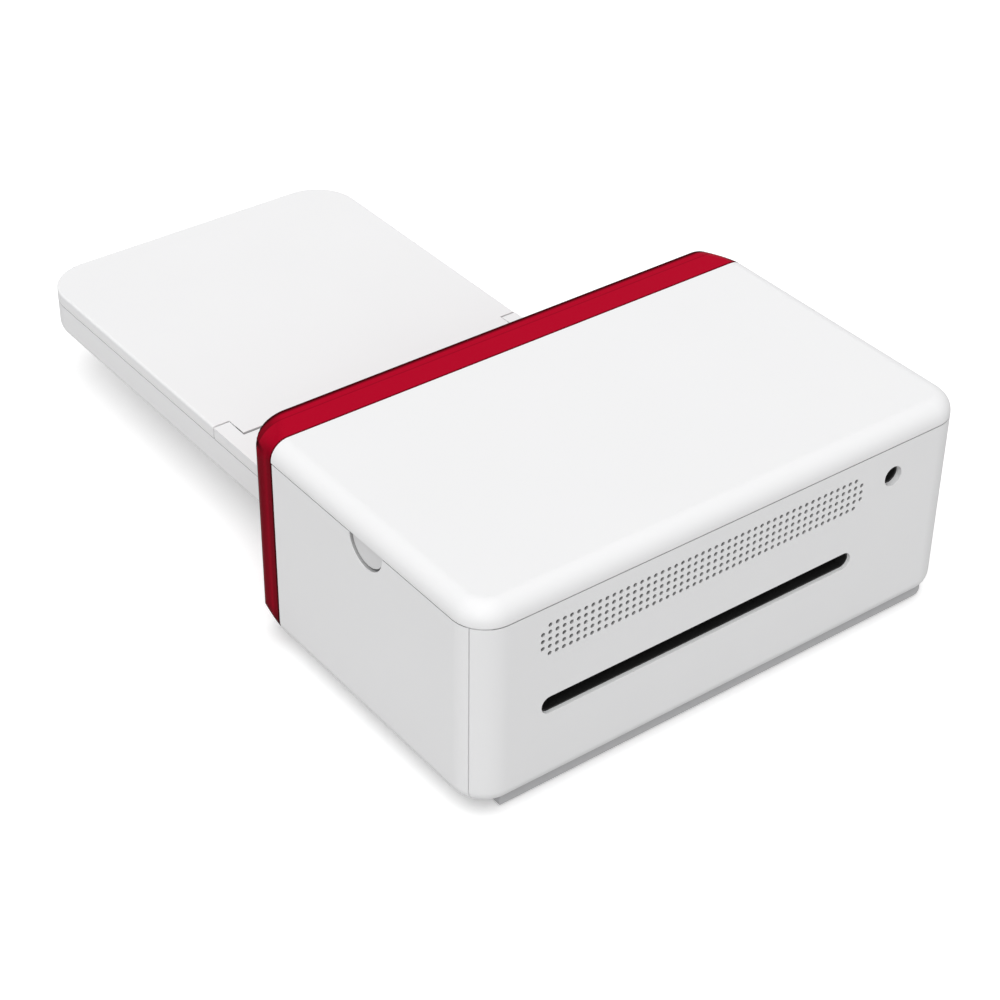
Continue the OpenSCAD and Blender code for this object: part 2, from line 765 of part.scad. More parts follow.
module cassette_lid() {
  tongue_w = cass_w - 2 * ear_w - 0.6;
  color("white") difference() {
    union() {
      slab_back(cass_w, cass_y0, ear_y - ear_gap, tray_z1 + seam / 2, lid_h - seam / 2, cass_r, 0.8);
      along_x(cx - tongue_w / 2, cx + tongue_w / 2) intersection() {
        translate([ear_y - 1, tray_z1 + seam / 2]) square([tongue_y - ear_y + 1, lid_h - seam / 2]);
        union() {
          translate([ear_y - 2, tray_z1]) square([tongue_y - ear_y + 2, lid_h - 1.2]);
          translate([ear_y - 2, tray_z1]) square([tongue_y - ear_y + 2 - 1.2, lid_h + 1]);
          translate([tongue_y - 1.2, lid_z1 - 1.2]) circle(1.2);
        }
      }
    }
    // hollow underside
    slab_back(cav_w, cass_y0 + tray_wall, ear_y - 3, tray_z1 - 1, lid_h - 1, cass_r - tray_wall, 0);
    for (s = [-1, 1]) bar_x(
      cx + (s > 0 ? tongue_w / 2 - 3.2 : -tongue_w / 2 - 1),
      cx + (s > 0 ? tongue_w / 2 + 1 : -tongue_w / 2 + 3.2),
      [pivot_y, pivot_z], pivot_r + run);
  }
}

module lift_plate() {
  w = cav_w - 1;
  color([0.25, 0.25, 0.26]) translate([0, lift_y, lift_z]) rotate([lift_tilt, 0, 0])
    translate([0, -lift_y, -lift_z]) {
      difference() {
        span([cx - w / 2, lift_y, lift_z - 0.5], [cx + w / 2, cass_y1 - tray_wall - 1, lift_z + 0.5]);
        // long openings that lighten the plate
        for (i = [-1:1])
          span([cx + i * 32 - 9, lift_y + 20, lift_z - 1], [cx + i * 32 + 9, pivot_y - 12, lift_z + 1]);
      }
      // hinge bar with its two pins
      bar_x(cx - cav_w / 2 + 0.2, cx + cav_w / 2 - 0.2, [lift_y, lift_z], 1.4);
      bar_x(cx - cav_w / 2 - 1.6, cx + cav_w / 2 + 1.6, [lift_y, lift_z], 1);
    }
}

// Rail that carries one side of the cassette inside the printer
module cassette_guide(s) {
  x_in = cass_w / 2 - 9;
  x_out = chassis_gap - 0.3;
  color([0.12, 0.12, 0.12]) translate([path_x, 0, 0]) mirror([s > 0 ? 0 : 1, 0, 0]) difference() {
    span([x_in, chassis_y0 + seam, floor_z + plate_t], [x_out, cass_y1 + 1.5, tray_z1 - 2]);
    // seat of the cassette
    span([x_in - 1, chassis_y0 - 1, cass_z - seam], [cass_w / 2 + seam, cass_y1 + seam, tray_z1 + 1]);
    // room under the seat
    for (y = [chassis_y0 + 2.5, chassis_y0 + 8])
      span([x_in + 1.4, y, floor_z], [x_out + 1, y + 3.6, cass_z - 2.5]);
  }
}
module cassette_guide_left() cassette_guide(-1);
module cassette_guide_right() cassette_guide(1);

// ---------------------------------------------------------------- chassis

module flange_spots(x, s) {
  for (y = [feed_y + 4, 30]) translate([x + s * 5, y, 0]) children();
}

// Side plate outline in Y and Z
module plate_outline() {
  difference() {
    translate([chassis_y0 + 1, floor_z]) square([chassis_y1 - chassis_y0 - 1, chassis_z1 - floor_z]);
    for (p = [feed_p, [feed_y, pinch_z], [platen_y, platen_z], pickup_p])
      translate(p) circle(journal_r + run);
    translate([cam_y, cam_z]) circle(1.5 + run);
    // room for the cassette's end, the housing's round lower edge and the cover's corners
    translate([chassis_y0, floor_z + 2]) square([3, 6]);
    translate([chassis_y1 - 3, floor_z - 1]) square([6, 4]);
    translate([chassis_y1 - 6, chassis_z1 - 3]) square([10, 10]);
    translate([chassis_y0, chassis_z1 - 3]) square([12, 10]);
  }
}

module chassis_left() {
  color("silver") {
    along_x(xl - plate_t, xl) difference() {
      plate_outline();
      translate(motor_p) circle(3);
      translate(takeup_p) circle(3 + run);
      translate([head_py, head_pz]) circle(journal_r);
      for (z = [22, 52]) translate([platen_y + 18, z]) circle(3);
    }
    // stud for the idler gear, riveted to the plate
    bar_x(gear_x - 0.6, xl - plate_t + eps, idler_p, 1.5);
    difference() {
      span([xl - eps, chassis_y0 + 1, floor_z], [xl + 9, chassis_y1 - 8, floor_z + plate_t]);
      flange_spots(xl, 1) translate([0, 0, floor_z - 1]) cylinder(r = 1.6, h = 5);
      span([xl + 0, platen_y - 8, floor_z - 1], [xl + 12, platen_y + 8, floor_z + 3]);
    }
  }
}

window_y0 = takeup_y - frame_out - 0.6;
window_y1 = supply_y + frame_out + 0.6;
window_z0 = film_z - 0.4;
window_z1 = spool_z + frame_out + 0.4;

module chassis_right() {
  color("silver") {
    along_x(xr, xr + plate_t) difference() {
      plate_outline();
      translate([window_y0, window_z0]) square([window_y1 - window_y0, window_z1 - window_z0]);
      translate([head_py, head_pz]) circle(journal_r);
    }
    difference() {
      span([xr - 9, chassis_y0 + 1, floor_z], [xr + eps, chassis_y1 - 8, floor_z + plate_t]);
      flange_spots(xr, -1) translate([0, 0, floor_z - 1]) cylinder(r = 1.6, h = 5);
      span([xr - 12, platen_y - 8, floor_z - 1], [xr - 0, platen_y + 8, floor_z + 3]);
    }
  }
}

module chassis_screws() {
  color("silver") for (s = [[xl, 1], [xr, -1]]) flange_spots(s[0], s[1])
    translate([0, 0, floor_z + plate_t + 1.2]) mirror([0, 0, 1]) screw(2.4, 2.4, 1.2, 1.4);
}

// Bar between the plates, with a turned-down lip
module cross_bar(y0, y1, z, lip) {
  color("silver") {
    span([xl, y0, z], [xr, y1, z + plate_t]);
    span([xl, lip > 0 ? y1 - plate_t : y0, z - 4], [xr, lip > 0 ? y1 : y0 + plate_t, z + eps]);
  }
}
module chassis_bar_front() cross_bar(chassis_y0 + 1.2, chassis_y0 + 8, 59.5, -1);
module chassis_bar_rear() cross_bar(chassis_y1 - 9, chassis_y1 - 1, 14, 1);

// ---------------------------------------------------------------- ribbon cartridge

module end_section(saddle) {
  for (y = [takeup_y, supply_y]) translate([y, spool_z]) circle(frame_out);
  translate([takeup_y, film_z + 0.9]) square([supply_y - takeup_y, saddle - film_z - 0.9]);
  for (y = [takeup_y, supply_y - 4]) translate([y, film_z + 0.9]) square([4, 8]);
}

module trough(y, s) {
  translate([y, spool_z]) difference() {
    circle(frame_out);
    circle(frame_in);
    // open towards the head and over the film's way down
    translate([s > 0 ? -20 : -3, -20]) square([23, 23]);
  }
}

module cartridge_frame() {
  color([0.1, 0.1, 0.11]) {
    // end plates
    along_x(cart_x0, cart_x0 + cart_t) difference() {
      end_section(saddle_z1);
      translate(takeup_p) circle(3.5 + run);
      translate([supply_y, spool_z]) circle(3.5 + run);
    }
    along_x(cart_x1 - cart_t, cart_x1) difference() {
      end_section(saddle_z1);
      translate(takeup_p) circle(3 + run);
      translate([supply_y, spool_z]) circle(3 + run);
    }
    // half shells round the two rolls
    along_x(cart_x0, cart_x1) {
      trough(takeup_y, -1);
      trough(supply_y, 1);
    }
    // film guide bars
    for (y = [takeup_y + 6.5, supply_y - 7]) bar_x(cart_x0, cart_x1, [y, film_z + film_t + 1], 0.9);
    // neck through the side plate and the outer cap with its grip
    along_x(cart_x1 - eps, xr + plate_t + 0.6) end_section(saddle_z1);
    difference() {
      span([xr + plate_t + 0.4, window_y0 - 1.5, window_z0 - 0.5],
        [xr + plate_t + 2.4, window_y1 + 1.5, window_z1 + 0.4]);
      span([xr, takeup_y + frame_out, saddle_z1], [xr + 10, supply_y - frame_out, window_z1 + 5]);
    }
    along_x(xr + plate_t + 2.3, hw - wall - 3)
      translate([(takeup_y + supply_y) / 2 - grip_w / 2, window_z0 + 0.3]) square([grip_w, 2.6]);
  }
}

module spool(p, left_r, socket) {
  x0 = cart_x0 + cart_t + 0.4;
  x1 = cart_x1 - cart_t - 0.4;
  difference() {
    union() {
      bar_x(x0, x1, p, core_r);
      for (x = [x0, x1 - 1]) bar_x(x, x + 1, p, core_r + 1);
      bar_x(cart_x0, x0 + eps, p, left_r);
      bar_x(x1 - eps, cart_x1 - eps, p, 3);
    }
    if (socket) translate([0, p[0], p[1]]) along_x(cart_x0 - 1, cart_x0 + 6) circle(2.3, $fn = 6);
  }
}

module supply_spool() color([0.85, 0.85, 0.8]) spool([supply_y, spool_z], 3.5, false);
module takeup_spool() color([0.85, 0.85, 0.8]) spool(takeup_p, 3.5, true);

module ribbon_roll(p, r) {
  difference() {
    bar_x(path_x - paper_w / 2 - 0.6, path_x + paper_w / 2 + 0.6, p, r);
    bar_x(path_x - paper_w, path_x + paper_w, p, core_r);
  }
}
module supply_ribbon() color([0.45, 0.1, 0.35]) ribbon_roll([supply_y, spool_z], roll_r);
module takeup_ribbon() color([0.2, 0.12, 0.3]) ribbon_roll(takeup_p, takeup_r);

// Film strip in Y and Z: from the supply roll, under both guide bars, up to the take-up roll
module ribbon_film() {
  y_a = takeup_y + 6.5;
  y_b = supply_y - 7;
  t = film_t;
  up = takeup_y + takeup_r + 0.15;
  color([0.8, 0.25, 0.5]) along_x(path_x - paper_w / 2, path_x + paper_w / 2) polygon([
    [y_a - 1.2, film_z], [y_b + 1.2, film_z],
    [supply_y - 1.5, spool_z - roll_r - 0.7], [supply_y - 1.5, spool_z - roll_r - 0.7 + t],
    [y_b + 1.05, film_z + t], [y_a - 1, film_z + t],
    [up + t, spool_z - 0.5], [up, spool_z - 0.5]
  ]);
}

// ---------------------------------------------------------------- print head

module lifted() {
  translate([0, head_py, head_pz]) rotate([-head_lift, 0, 0])
    translate([0, -head_py, -head_pz]) children();
}

module head_bracket() {
  x0 = path_x - head_w / 2;
  x1 = path_x + head_w / 2;
  color("silver") lifted() {
    difference() {
      span([x0, platen_y - 7, bracket_z], [x1, head_py - 7, bracket_z + bracket_t]);
      for (i = [-2:2]) span([path_x + i * 20 - 7, platen_y + 8, bracket_z - 1],
        [path_x + i * 20 + 7, head_py - 12, bracket_z + 3]);
    }
    // ears on the pivot shaft
    for (x = [x0, x1 - 1.6]) along_x(x, x + 1.6) difference() {
      union() {
        translate([head_py, head_pz]) circle(3.6);
        translate([head_py - 12, bracket_z]) square([12, 2.6]);
      }
      translate([head_py, head_pz]) circle(journal_r + run);
    }
  }
}

module head_heatsink() {
  color([0.75, 0.76, 0.78]) lifted() difference() {
    span([path_x - head_w / 2 + 1, platen_y - 4.5, head_z0 + 3],
      [path_x + head_w / 2 - 1, platen_y + 4.5, bracket_z]);
    // cooling grooves on both faces
    for (z = [head_z0 + 6:2.6:bracket_z - 3], s = [-1, 1])
      span([path_x - head_w, platen_y + (s > 0 ? 2 : -5), z],
        [path_x + head_w, platen_y + (s > 0 ? 5 : -2), z + 1.2]);
  }
}

module thermal_head() {
  color([0.93, 0.92, 0.88]) lifted() union() {
    span([path_x - paper_w / 2 - 1, platen_y - 4.2, head_z0 + 1],
      [path_x + paper_w / 2 + 1, platen_y + 4.2, head_z0 + 3]);
    // raised glaze bead over the nip
    along_x(path_x - paper_w / 2, path_x + paper_w / 2) intersection() {
      translate([platen_y, head_z0 + 3]) circle(3);
      translate([platen_y - 1.6, head_z0]) square([3.2, 1.2]);
    }
  }
}

module head_pivot_shaft() {
  color("silver") bar_x(xl - plate_t, xr + plate_t, [head_py, head_pz], journal_r);
}

module cam_shaft() {
  color([0.85, 0.85, 0.82]) {
    bar_x(xl - plate_t - 1, xr + plate_t + 1, [cam_y, cam_z], 1.5);
    for (x = [path_x - head_w / 2 + 2, path_x + head_w / 2 - 6])
      bar_x(x, x + 4, [cam_y, cam_z + cam_throw], cam_r);
  }
}

// ---------------------------------------------------------------- rollers and gears

module platen_shaft() {
  color("silver") {
    bar_x(xl - plate_t - 0.6, xr + plate_t + 0.6, [platen_y, platen_z], journal_r);
    bar_x(path_x - paper_w / 2 - 1, path_x + paper_w / 2 + 1, [platen_y, platen_z], 3);
  }
}

module platen_rubber() {
  color([0.1, 0.1, 0.1]) difference() {
    bar_x(path_x - paper_w / 2 - 1, path_x + paper_w / 2 + 1, [platen_y, platen_z], platen_r);
    bar_x(path_x - paper_w, path_x + paper_w, [platen_y, platen_z], 3);
  }
}

module feed_roller() {
  color("silver") {
    bar_x(gear_x, xr + plate_t + 0.6, feed_p, journal_r);
    bar_x(path_x - paper_w / 2 - 1, path_x + paper_w / 2 + 1, feed_p, feed_r);
  }
}
module feed_gear() color("ivory") gear_on(feed_p, feed_teeth, feed_phase, journal_r);

module pinch_roller() {
  color([0.3, 0.3, 0.32]) {
    bar_x(xl - plate_t - 0.6, xr + plate_t + 0.6, [feed_y, pinch_z], journal_r);
    bar_x(path_x - paper_w / 2, path_x + paper_w / 2, [feed_y, pinch_z], pinch_r);
  }
}

tyre_spots = [path_x - 26, path_x + 14];
tyre_w = 12;
module pickup_shaft() {
  color("silver") {
    bar_x(gear_x, xr + plate_t + 0.6, pickup_p, journal_r);
    for (x = tyre_spots) bar_x(x, x + tyre_w, pickup_p, pickup_r - 2.5);
  }
}
module pickup_tyres() {
  color([0.15, 0.15, 0.15]) for (x = tyre_spots) difference() {
    bar_x(x, x + tyre_w, pickup_p, pickup_r);
    bar_x(x - 1, x + tyre_w + 1, pickup_p, pickup_r - 2.5);
  }
}
module pickup_gear() color("ivory") gear_on(pickup_p, pickup_teeth, pickup_phase, journal_r);

motor_r = 9.2;
motor_len = 18;
module feed_motor() {
  color([0.6, 0.6, 0.62]) {
    difference() {
      bar_x(xl, xl + motor_len, motor_p, motor_r);
      bar_x(xl - 1, xl + 4, motor_p, 1 + run);
    }
    // locating boss in the plate, open for the shaft
    difference() {
      bar_x(xl - plate_t, xl + eps, motor_p, 2.95);
      bar_x(xl - plate_t - 1, xl + 1, motor_p, 1 + run);
    }
    bar_x(xl + motor_len - eps, xl + motor_len + 1.2, motor_p, 3);
  }
}
module motor_pinion() {
  color("goldenrod") {
    gear_on(motor_p, pinion_teeth, pinion_phase, 1);
    bar_x(gear_x, xl + 3.5, motor_p, 1);
  }
}
module idler_gear() color("ivory") gear_on(idler_p, idler_teeth, idler_phase, 1.5 + run);
module takeup_drive() {
  color("ivory") {
    gear_on(takeup_p, takeup_teeth, takeup_phase, 0);
    bar_x(gear_x + gear_w, xl + 0.8, takeup_p, 3);
    translate([0, takeup_y, spool_z]) along_x(xl + 0.7, cart_x0 + 5) circle(2.1, $fn = 6);
  }
}

// ---------------------------------------------------------------- parts

main_housing();
vent_grille();
top_cover();
front_cap();
side_door();
door_hinge_rod();
base_plate();
rubber_feet();
base_screws();
dc_jack();
dc_pin();
exit_guide();
power_button();
status_light();
button_board();
main_board();
cassette_tray();
cassette_cover();
cassette_lid();
lift_plate();
cassette_guide_left();
cassette_guide_right();
chassis_left();
chassis_right();
chassis_bar_front();
chassis_bar_rear();
chassis_screws();
cartridge_frame();
supply_spool();
supply_ribbon();
takeup_spool();
takeup_ribbon();
ribbon_film();
head_bracket();
head_heatsink();
thermal_head();
head_pivot_shaft();
cam_shaft();
platen_shaft();
platen_rubber();
feed_roller();
feed_gear();
pinch_roller();
pickup_shaft();
pickup_tyres();
pickup_gear();
feed_motor();
motor_pinion();
idler_gear();
takeup_drive();
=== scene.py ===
# %% [markdown]
# # A compact photo printer, dressed for its portrait
#
# The printer arrives as a working frame: shells, a hinged side door, a paper
# cassette with its lid, and the rollers, gears and ribbon inside. The shapes are
# right but bare. This lesson gives the outer shells their softened edges and fine
# seams, finishes every part in its own material, and sets up a white studio.
# Everything is in metres, in the frame's own coordinates: +Z is up, +Y is the
# face with the paper slot, +X the side with the door.

# %% Load the frame
import math

import bmesh
import bpy
from mathutils import Matrix, Vector


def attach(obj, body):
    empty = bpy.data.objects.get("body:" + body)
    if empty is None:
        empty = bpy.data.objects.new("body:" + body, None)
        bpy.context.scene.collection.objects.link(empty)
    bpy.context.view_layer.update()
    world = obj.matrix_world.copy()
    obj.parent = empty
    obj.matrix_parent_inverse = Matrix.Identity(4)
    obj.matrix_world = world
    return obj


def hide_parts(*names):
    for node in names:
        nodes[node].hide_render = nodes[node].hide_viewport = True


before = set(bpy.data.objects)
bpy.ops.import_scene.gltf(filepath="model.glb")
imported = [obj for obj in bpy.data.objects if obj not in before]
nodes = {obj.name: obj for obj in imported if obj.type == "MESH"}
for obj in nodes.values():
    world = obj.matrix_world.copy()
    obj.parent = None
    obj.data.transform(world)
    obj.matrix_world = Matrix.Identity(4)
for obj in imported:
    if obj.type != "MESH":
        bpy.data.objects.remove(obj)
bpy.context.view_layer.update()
mm = 0.001
print(len(nodes), "parts came with the frame")

# %% [markdown]
# ## The camera
#
# The portrait is taken from behind and above, on the door's side. The straight
# edges of the body give the viewpoint: 37 degrees round from the rear face, 36
# degrees up, about 0.69 m away, with a lens near 87 mm. A turn, a height and a
# distance are easier to read and to correct than a bare location and three
# angles, so the camera is built from those.

# %% Find the direction of the view
view_turn = math.radians(37.277)
view_height = math.radians(35.870)
view_roll = math.radians(0.762)
back = Vector((
    math.sin(view_turn) * math.cos(view_height),
    math.cos(view_turn) * math.cos(view_height),
    math.sin(view_height),
))
right = (-back).cross(Vector((0, 0, 1))).normalized()
up = right.cross(-back)
right, up = (
    math.cos(view_roll) * right + math.sin(view_roll) * up,
    math.cos(view_roll) * up - math.sin(view_roll) * right,
)
print("the camera lies in the direction", tuple(round(c, 3) for c in back))

# %% [markdown]
# The camera stands back from the point it looks at by the distance. Its lens is
# given as a share of the film's width, as that is what the photograph shows.

# %% Place the camera
view_distance = 0.69154
view_target = Vector((0.01406, -0.03063, 0.02679))
film_width = 36
lens_per_width = 2.4280

camera_data = bpy.data.cameras.new("portrait_camera")
camera_data.sensor_width = film_width
camera_data.lens = lens_per_width * film_width
camera_data.clip_start = 0.01
camera_data.clip_end = 50
camera = bpy.data.objects.new("portrait_camera", camera_data)
turned = Matrix((right, up, back)).transposed().to_4x4()
camera.matrix_world = Matrix.Translation(view_target + back * view_distance) @ turned
scene = bpy.context.scene
scene.collection.objects.link(camera)
scene.camera = camera
scene.view_settings.view_transform = "Standard"
print("camera at", tuple(round(c, 3) for c in camera.location))

# %% [markdown]
# ## The studio
#
# The printer stands in a white room: the floor runs out to white, the top of the
# body is almost white and its upright faces are a light grey. An even white world
# gives every face its base level. A broad sun from above lifts the top, and a
# second one from the camera's side lifts the rounded upright corner over its two
# neighbours. Suns light the whole floor evenly, which keeps the page white, and
# their wide angle keeps the shadow soft.

# %% Light the studio
def sun(name, strength, direction, angle):
    data = bpy.data.lights.new(name, "SUN")
    data.energy = strength
    data.angle = math.radians(angle)
    lamp = bpy.data.objects.new(name, data)
    lamp.rotation_euler = Vector(direction).to_track_quat("Z", "Y").to_euler()
    scene.collection.objects.link(lamp)
    print(name, "shines with strength", strength)


sun("top_light", strength=1.45, direction=(0.15, 0.1, 1.0), angle=70)
sun("corner_light", strength=0.95, direction=(0.62, 0.60, 0.5), angle=50)

# %% [markdown]
# Around the printer is nothing but white. The world plays two parts: to the camera,
# and to mirrors and glass, it is plain white paper of strength 1; as a light it is
# only half as strong, or the white shell would lose its shading. One background
# can't do both, so there are two.

# %% Make two white backgrounds
room_light, page_light = 0.52, 1.0
pure_white = (1, 1, 1, 1)

world = bpy.data.worlds.new("white_room")
world.use_nodes = True
world_nodes = world.node_tree.nodes
world_links = world.node_tree.links
room = world_nodes["Background"]
room.inputs["Color"].default_value = pure_white
room.inputs["Strength"].default_value = room_light
page = world_nodes.new("ShaderNodeBackground")
page.inputs["Color"].default_value = pure_white
page.inputs["Strength"].default_value = page_light
print("the world lights with", room_light, "and is seen as", page_light)

# %% [markdown]
# A Light Path node knows what kind of ray asks for the colour. Where it is one that
# the camera, a clear part or a shiny part sends out, the bright page answers, and
# for all the others the dimmer room.

# %% Choose between them by the kind of ray
seen = world_nodes.new("ShaderNodeLightPath")
clear_view = world_nodes.new("ShaderNodeMath")
clear_view.operation = "MAXIMUM"
world_links.new(seen.outputs["Is Camera Ray"], clear_view.inputs[0])
world_links.new(seen.outputs["Is Transmission Ray"], clear_view.inputs[1])
any_view = world_nodes.new("ShaderNodeMath")
any_view.operation = "MAXIMUM"
world_links.new(clear_view.outputs[0], any_view.inputs[0])
world_links.new(seen.outputs["Is Glossy Ray"], any_view.inputs[1])
either_white = world_nodes.new("ShaderNodeMixShader")
world_links.new(any_view.outputs[0], either_white.inputs[0])
world_links.new(room.outputs[0], either_white.inputs[1])
world_links.new(page.outputs[0], either_white.inputs[2])
world_links.new(either_white.outputs[0], world_nodes["World Output"].inputs["Surface"])
scene.world = world
print("world:", world.name, "has", len(world_nodes), "nodes")

# %% [markdown]
# ## Finishes
#
# Almost all of the printer is moulded plastic. A moulded surface is never quite
# flat: the mould leaves a fine, even grain, the plastic sinks and swells by a few
# hundredths over some centimetres, and handling leaves some places a little
# smoother than others. Photographs of plastic could be wrapped round each part, but
# every part would have to be unwrapped first. Noise on object coordinates needs no
# unwrapping and has no seam. Three helpers make the node trees short to write.

# %% Helpers for small node trees
def plug(material, slot, value):
    # a slot takes another node's output, or else a fixed value
    if isinstance(value, bpy.types.NodeSocket):
        material.node_tree.links.new(value, slot)
    else:
        slot.default_value = value


def step(material, operation, *values):
    # one Math node
    node = material.node_tree.nodes.new("ShaderNodeMath")
    node.operation = operation
    for slot, value in zip(node.inputs, values):
        plug(material, slot, value)
    return node.outputs[0]


def mixed(material, factor, first, second, way="MIX"):
    # one Mix node for two colours
    node = material.node_tree.nodes.new("ShaderNodeMix")
    node.data_type = "RGBA"
    node.blend_type = way
    plug(material, node.inputs["Factor"], factor)
    plug(material, node.inputs["A"], first)
    plug(material, node.inputs["B"], second)
    return node.outputs["Result"]


# %% [markdown]
# Every pattern starts from a Texture Coordinate node: its Object output is the place
# on the part, its Normal output the direction of the surface. Noise is read at the
# place, so it sits still on the part when that moves.

# %% Helpers for patterns
def place_on(material, kind="Object"):
    nodes_made = material.node_tree.nodes
    return next(node for node in nodes_made if node.type == "TEX_COORD").outputs[kind]


def noise(material, scale, detail):
    node = material.node_tree.nodes.new("ShaderNodeTexNoise")
    node.inputs["Scale"].default_value = scale
    node.inputs["Detail"].default_value = detail
    material.node_tree.links.new(place_on(material), node.inputs["Vector"])
    return node.outputs["Fac"]


# %% [markdown]
# One function gives a moulded plastic in three small patterns: a broad cloud for
# the colour, a middle one for the roughness and a fine grain for the bump. The
# metals and the paper come from it too, as they differ in its values only.

# %% A moulded plastic
cloud_scale, smear_scale = 24, 160
smear_depth = 0.05


def plastic(name, colour, rough=0.45, grain=0.00001, grain_size=0.0004,
            cloud=0.012, coat=0.0, metal=0.0, gloss=0.5):
    material = bpy.data.materials.new(name)
    material.use_nodes = True
    shader = material.node_tree.nodes["Principled BSDF"]
    shader.inputs["Metallic"].default_value = metal
    shader.inputs["Specular IOR Level"].default_value = gloss
    shader.inputs["Coat Weight"].default_value = coat
    shader.inputs["Coat Roughness"].default_value = 0.05
    material.node_tree.nodes.new("ShaderNodeTexCoord")

    broad = noise(material, cloud_scale, detail=2)
    darker = [c * (1 - cloud) for c in colour]
    lighter = [min(1, c * (1 + cloud)) for c in colour]
    plug(material, shader.inputs["Base Color"], mixed(material, broad, (*darker, 1), (*lighter, 1)))

    level = material.node_tree.nodes.new("ShaderNodeMapRange")
    level.inputs["To Min"].default_value = rough - smear_depth
    level.inputs["To Max"].default_value = rough + smear_depth
    plug(material, level.inputs["Value"], noise(material, smear_scale, detail=3))
    plug(material, shader.inputs["Roughness"], level.outputs["Result"])

    bump = material.node_tree.nodes.new("ShaderNodeBump")
    bump.inputs["Strength"].default_value = 1.0
    bump.inputs["Distance"].default_value = grain
    plug(material, bump.inputs["Height"], noise(material, 1 / grain_size, detail=2))
    plug(material, shader.inputs["Normal"], bump.outputs["Normal"])
    return material


# %% [markdown]
# Light and shade are painted into some finishes over a part: darker at an edge,
# lighter on a flat. Such painted light or shade is a factor, drawn as a ramp over
# one coordinate and multiplied into the colour: less than one darkens it, more than
# one lightens it. It could be painted on, but a list of pairs, coordinate and
# factor, is easy to read beside a drawing of the part and stays sharp at any size
# of picture.

# %% Helpers that read a coordinate
def axis(material, kind, letter):
    # one coordinate of the place or the direction
    apart = material.node_tree.nodes.new("ShaderNodeSeparateXYZ")
    plug(material, apart.inputs[0], place_on(material, kind))
    return apart.outputs[letter]


def ramp(material, kind, letter, stops):
    # a piecewise linear function of one coordinate, as pairs of coordinate and value
    low, high = stops[0][0], stops[-1][0]
    spread = material.node_tree.nodes.new("ShaderNodeMapRange")
    spread.inputs["From Min"].default_value = low
    spread.inputs["From Max"].default_value = high
    plug(material, spread.inputs["Value"], axis(material, kind, letter))
    band = material.node_tree.nodes.new("ShaderNodeValToRGB")
    plug(material, band.inputs["Fac"], spread.outputs["Result"])
    for at, value in stops[1:-1]:
        band.color_ramp.elements.new((at - low) / (high - low))
    for mark, (at, value) in zip(band.color_ramp.elements, stops):
        mark.color = (value, value, value, 1)
    return band.outputs["Color"]


# %% [markdown]
# A finish keeps its own colour under the shade: the shade is a Multiply node
# between that colour and the shader.

# %% Helpers that deepen a colour
def own_colour(material):
    slot = material.node_tree.nodes["Principled BSDF"].inputs["Base Color"]
    return slot, slot.links[0].from_socket


def deepen(material, factor):
    # multiply a factor into the material's own colour
    slot, colour = own_colour(material)
    plug(material, slot, mixed(material, 1.0, colour, factor, "MULTIPLY"))


# %% [markdown]
# The plain finishes follow. The cap is a saturated red, the base a mid-grey, the
# paper slot and the guides are black, and the small mechanism has ivory gears,
# dark rollers and a dye ribbon. Each is a colour and a few values away from the
# moulded plastic, so one line makes each.

# %% The plain finishes
cap_red = plastic("cap_red", (0.51, 0.003, 0.024), rough=0.25, grain=0.0000005, cloud=0.03, gloss=0.006)
base_grey = plastic("base_grey", (0.50, 0.50, 0.51), rough=0.55, grain=0.00001)
guide_black = plastic("guide_black", (0.004, 0.004, 0.004), rough=0.6, grain=0.00001)
inner_black = plastic("inner_black", (0.02, 0.02, 0.022), rough=0.5, grain=0.00001)
dark_plastic = plastic("dark_plastic", (0.06, 0.06, 0.065), rough=0.5, grain=0.00001)
rubber = plastic("rubber", (0.03, 0.03, 0.03), rough=0.8, grain=0.00003, grain_size=0.0003)
gear_ivory = plastic("gear_ivory", (0.70, 0.67, 0.56), rough=0.4)
button_silver = plastic("button_silver", (0.72, 0.72, 0.74), rough=0.3, coat=0.3)
light_pipe = plastic("light_pipe", (0.80, 0.86, 0.92), rough=0.12, coat=0.5)
ribbon_dye = plastic("ribbon_dye", (0.26, 0.03, 0.14), rough=0.2, cloud=0.25, coat=0.4)
head_ceramic = plastic("head_ceramic", (0.72, 0.70, 0.64), rough=0.3)
for made in (cap_red, base_grey, guide_black, rubber, gear_ivory):
    print("finish:", made.name)

# %% [markdown]
# Many shades and shapes below start at an edge of a part. Those places could be
# typed in, but they are measured on the frame's own meshes instead, so that they
# stay right when a part of the frame changes its size. A mesh stores about seven
# digits, so the measures are rounded to the nearest micrometre.

# %% A helper that measures a part
def span(part, letter):
    # the lowest and the highest place of a part along one axis
    places = [corner.co["XYZ".index(letter)] for corner in nodes[part].data.vertices]
    return round(min(places), 6), round(max(places), 6)


plate_foot, plate_top = span("base_plate", "Z")
print("base plate: from", plate_foot, "to", plate_top, "m")

# %% [markdown]
# The base plate lies back under the body's rounded lower edge, so its upper
# millimetre gets less light than its foot. The soft lights of the studio hardly
# show that by themselves, so the shade is drawn into the grey.

# %% Shade the base plate
plate_shade = [
    (plate_foot, 1.05), (2.0 * mm, 1.0), (3.0 * mm, 0.95), (3.8 * mm, 0.84), (plate_top, 0.84),
]
deepen(base_grey, ramp(base_grey, "Object", "Z", plate_shade))
print("base plate:", plate_shade[0][1], "of its grey at the foot,", plate_shade[-1][1], "at the top")
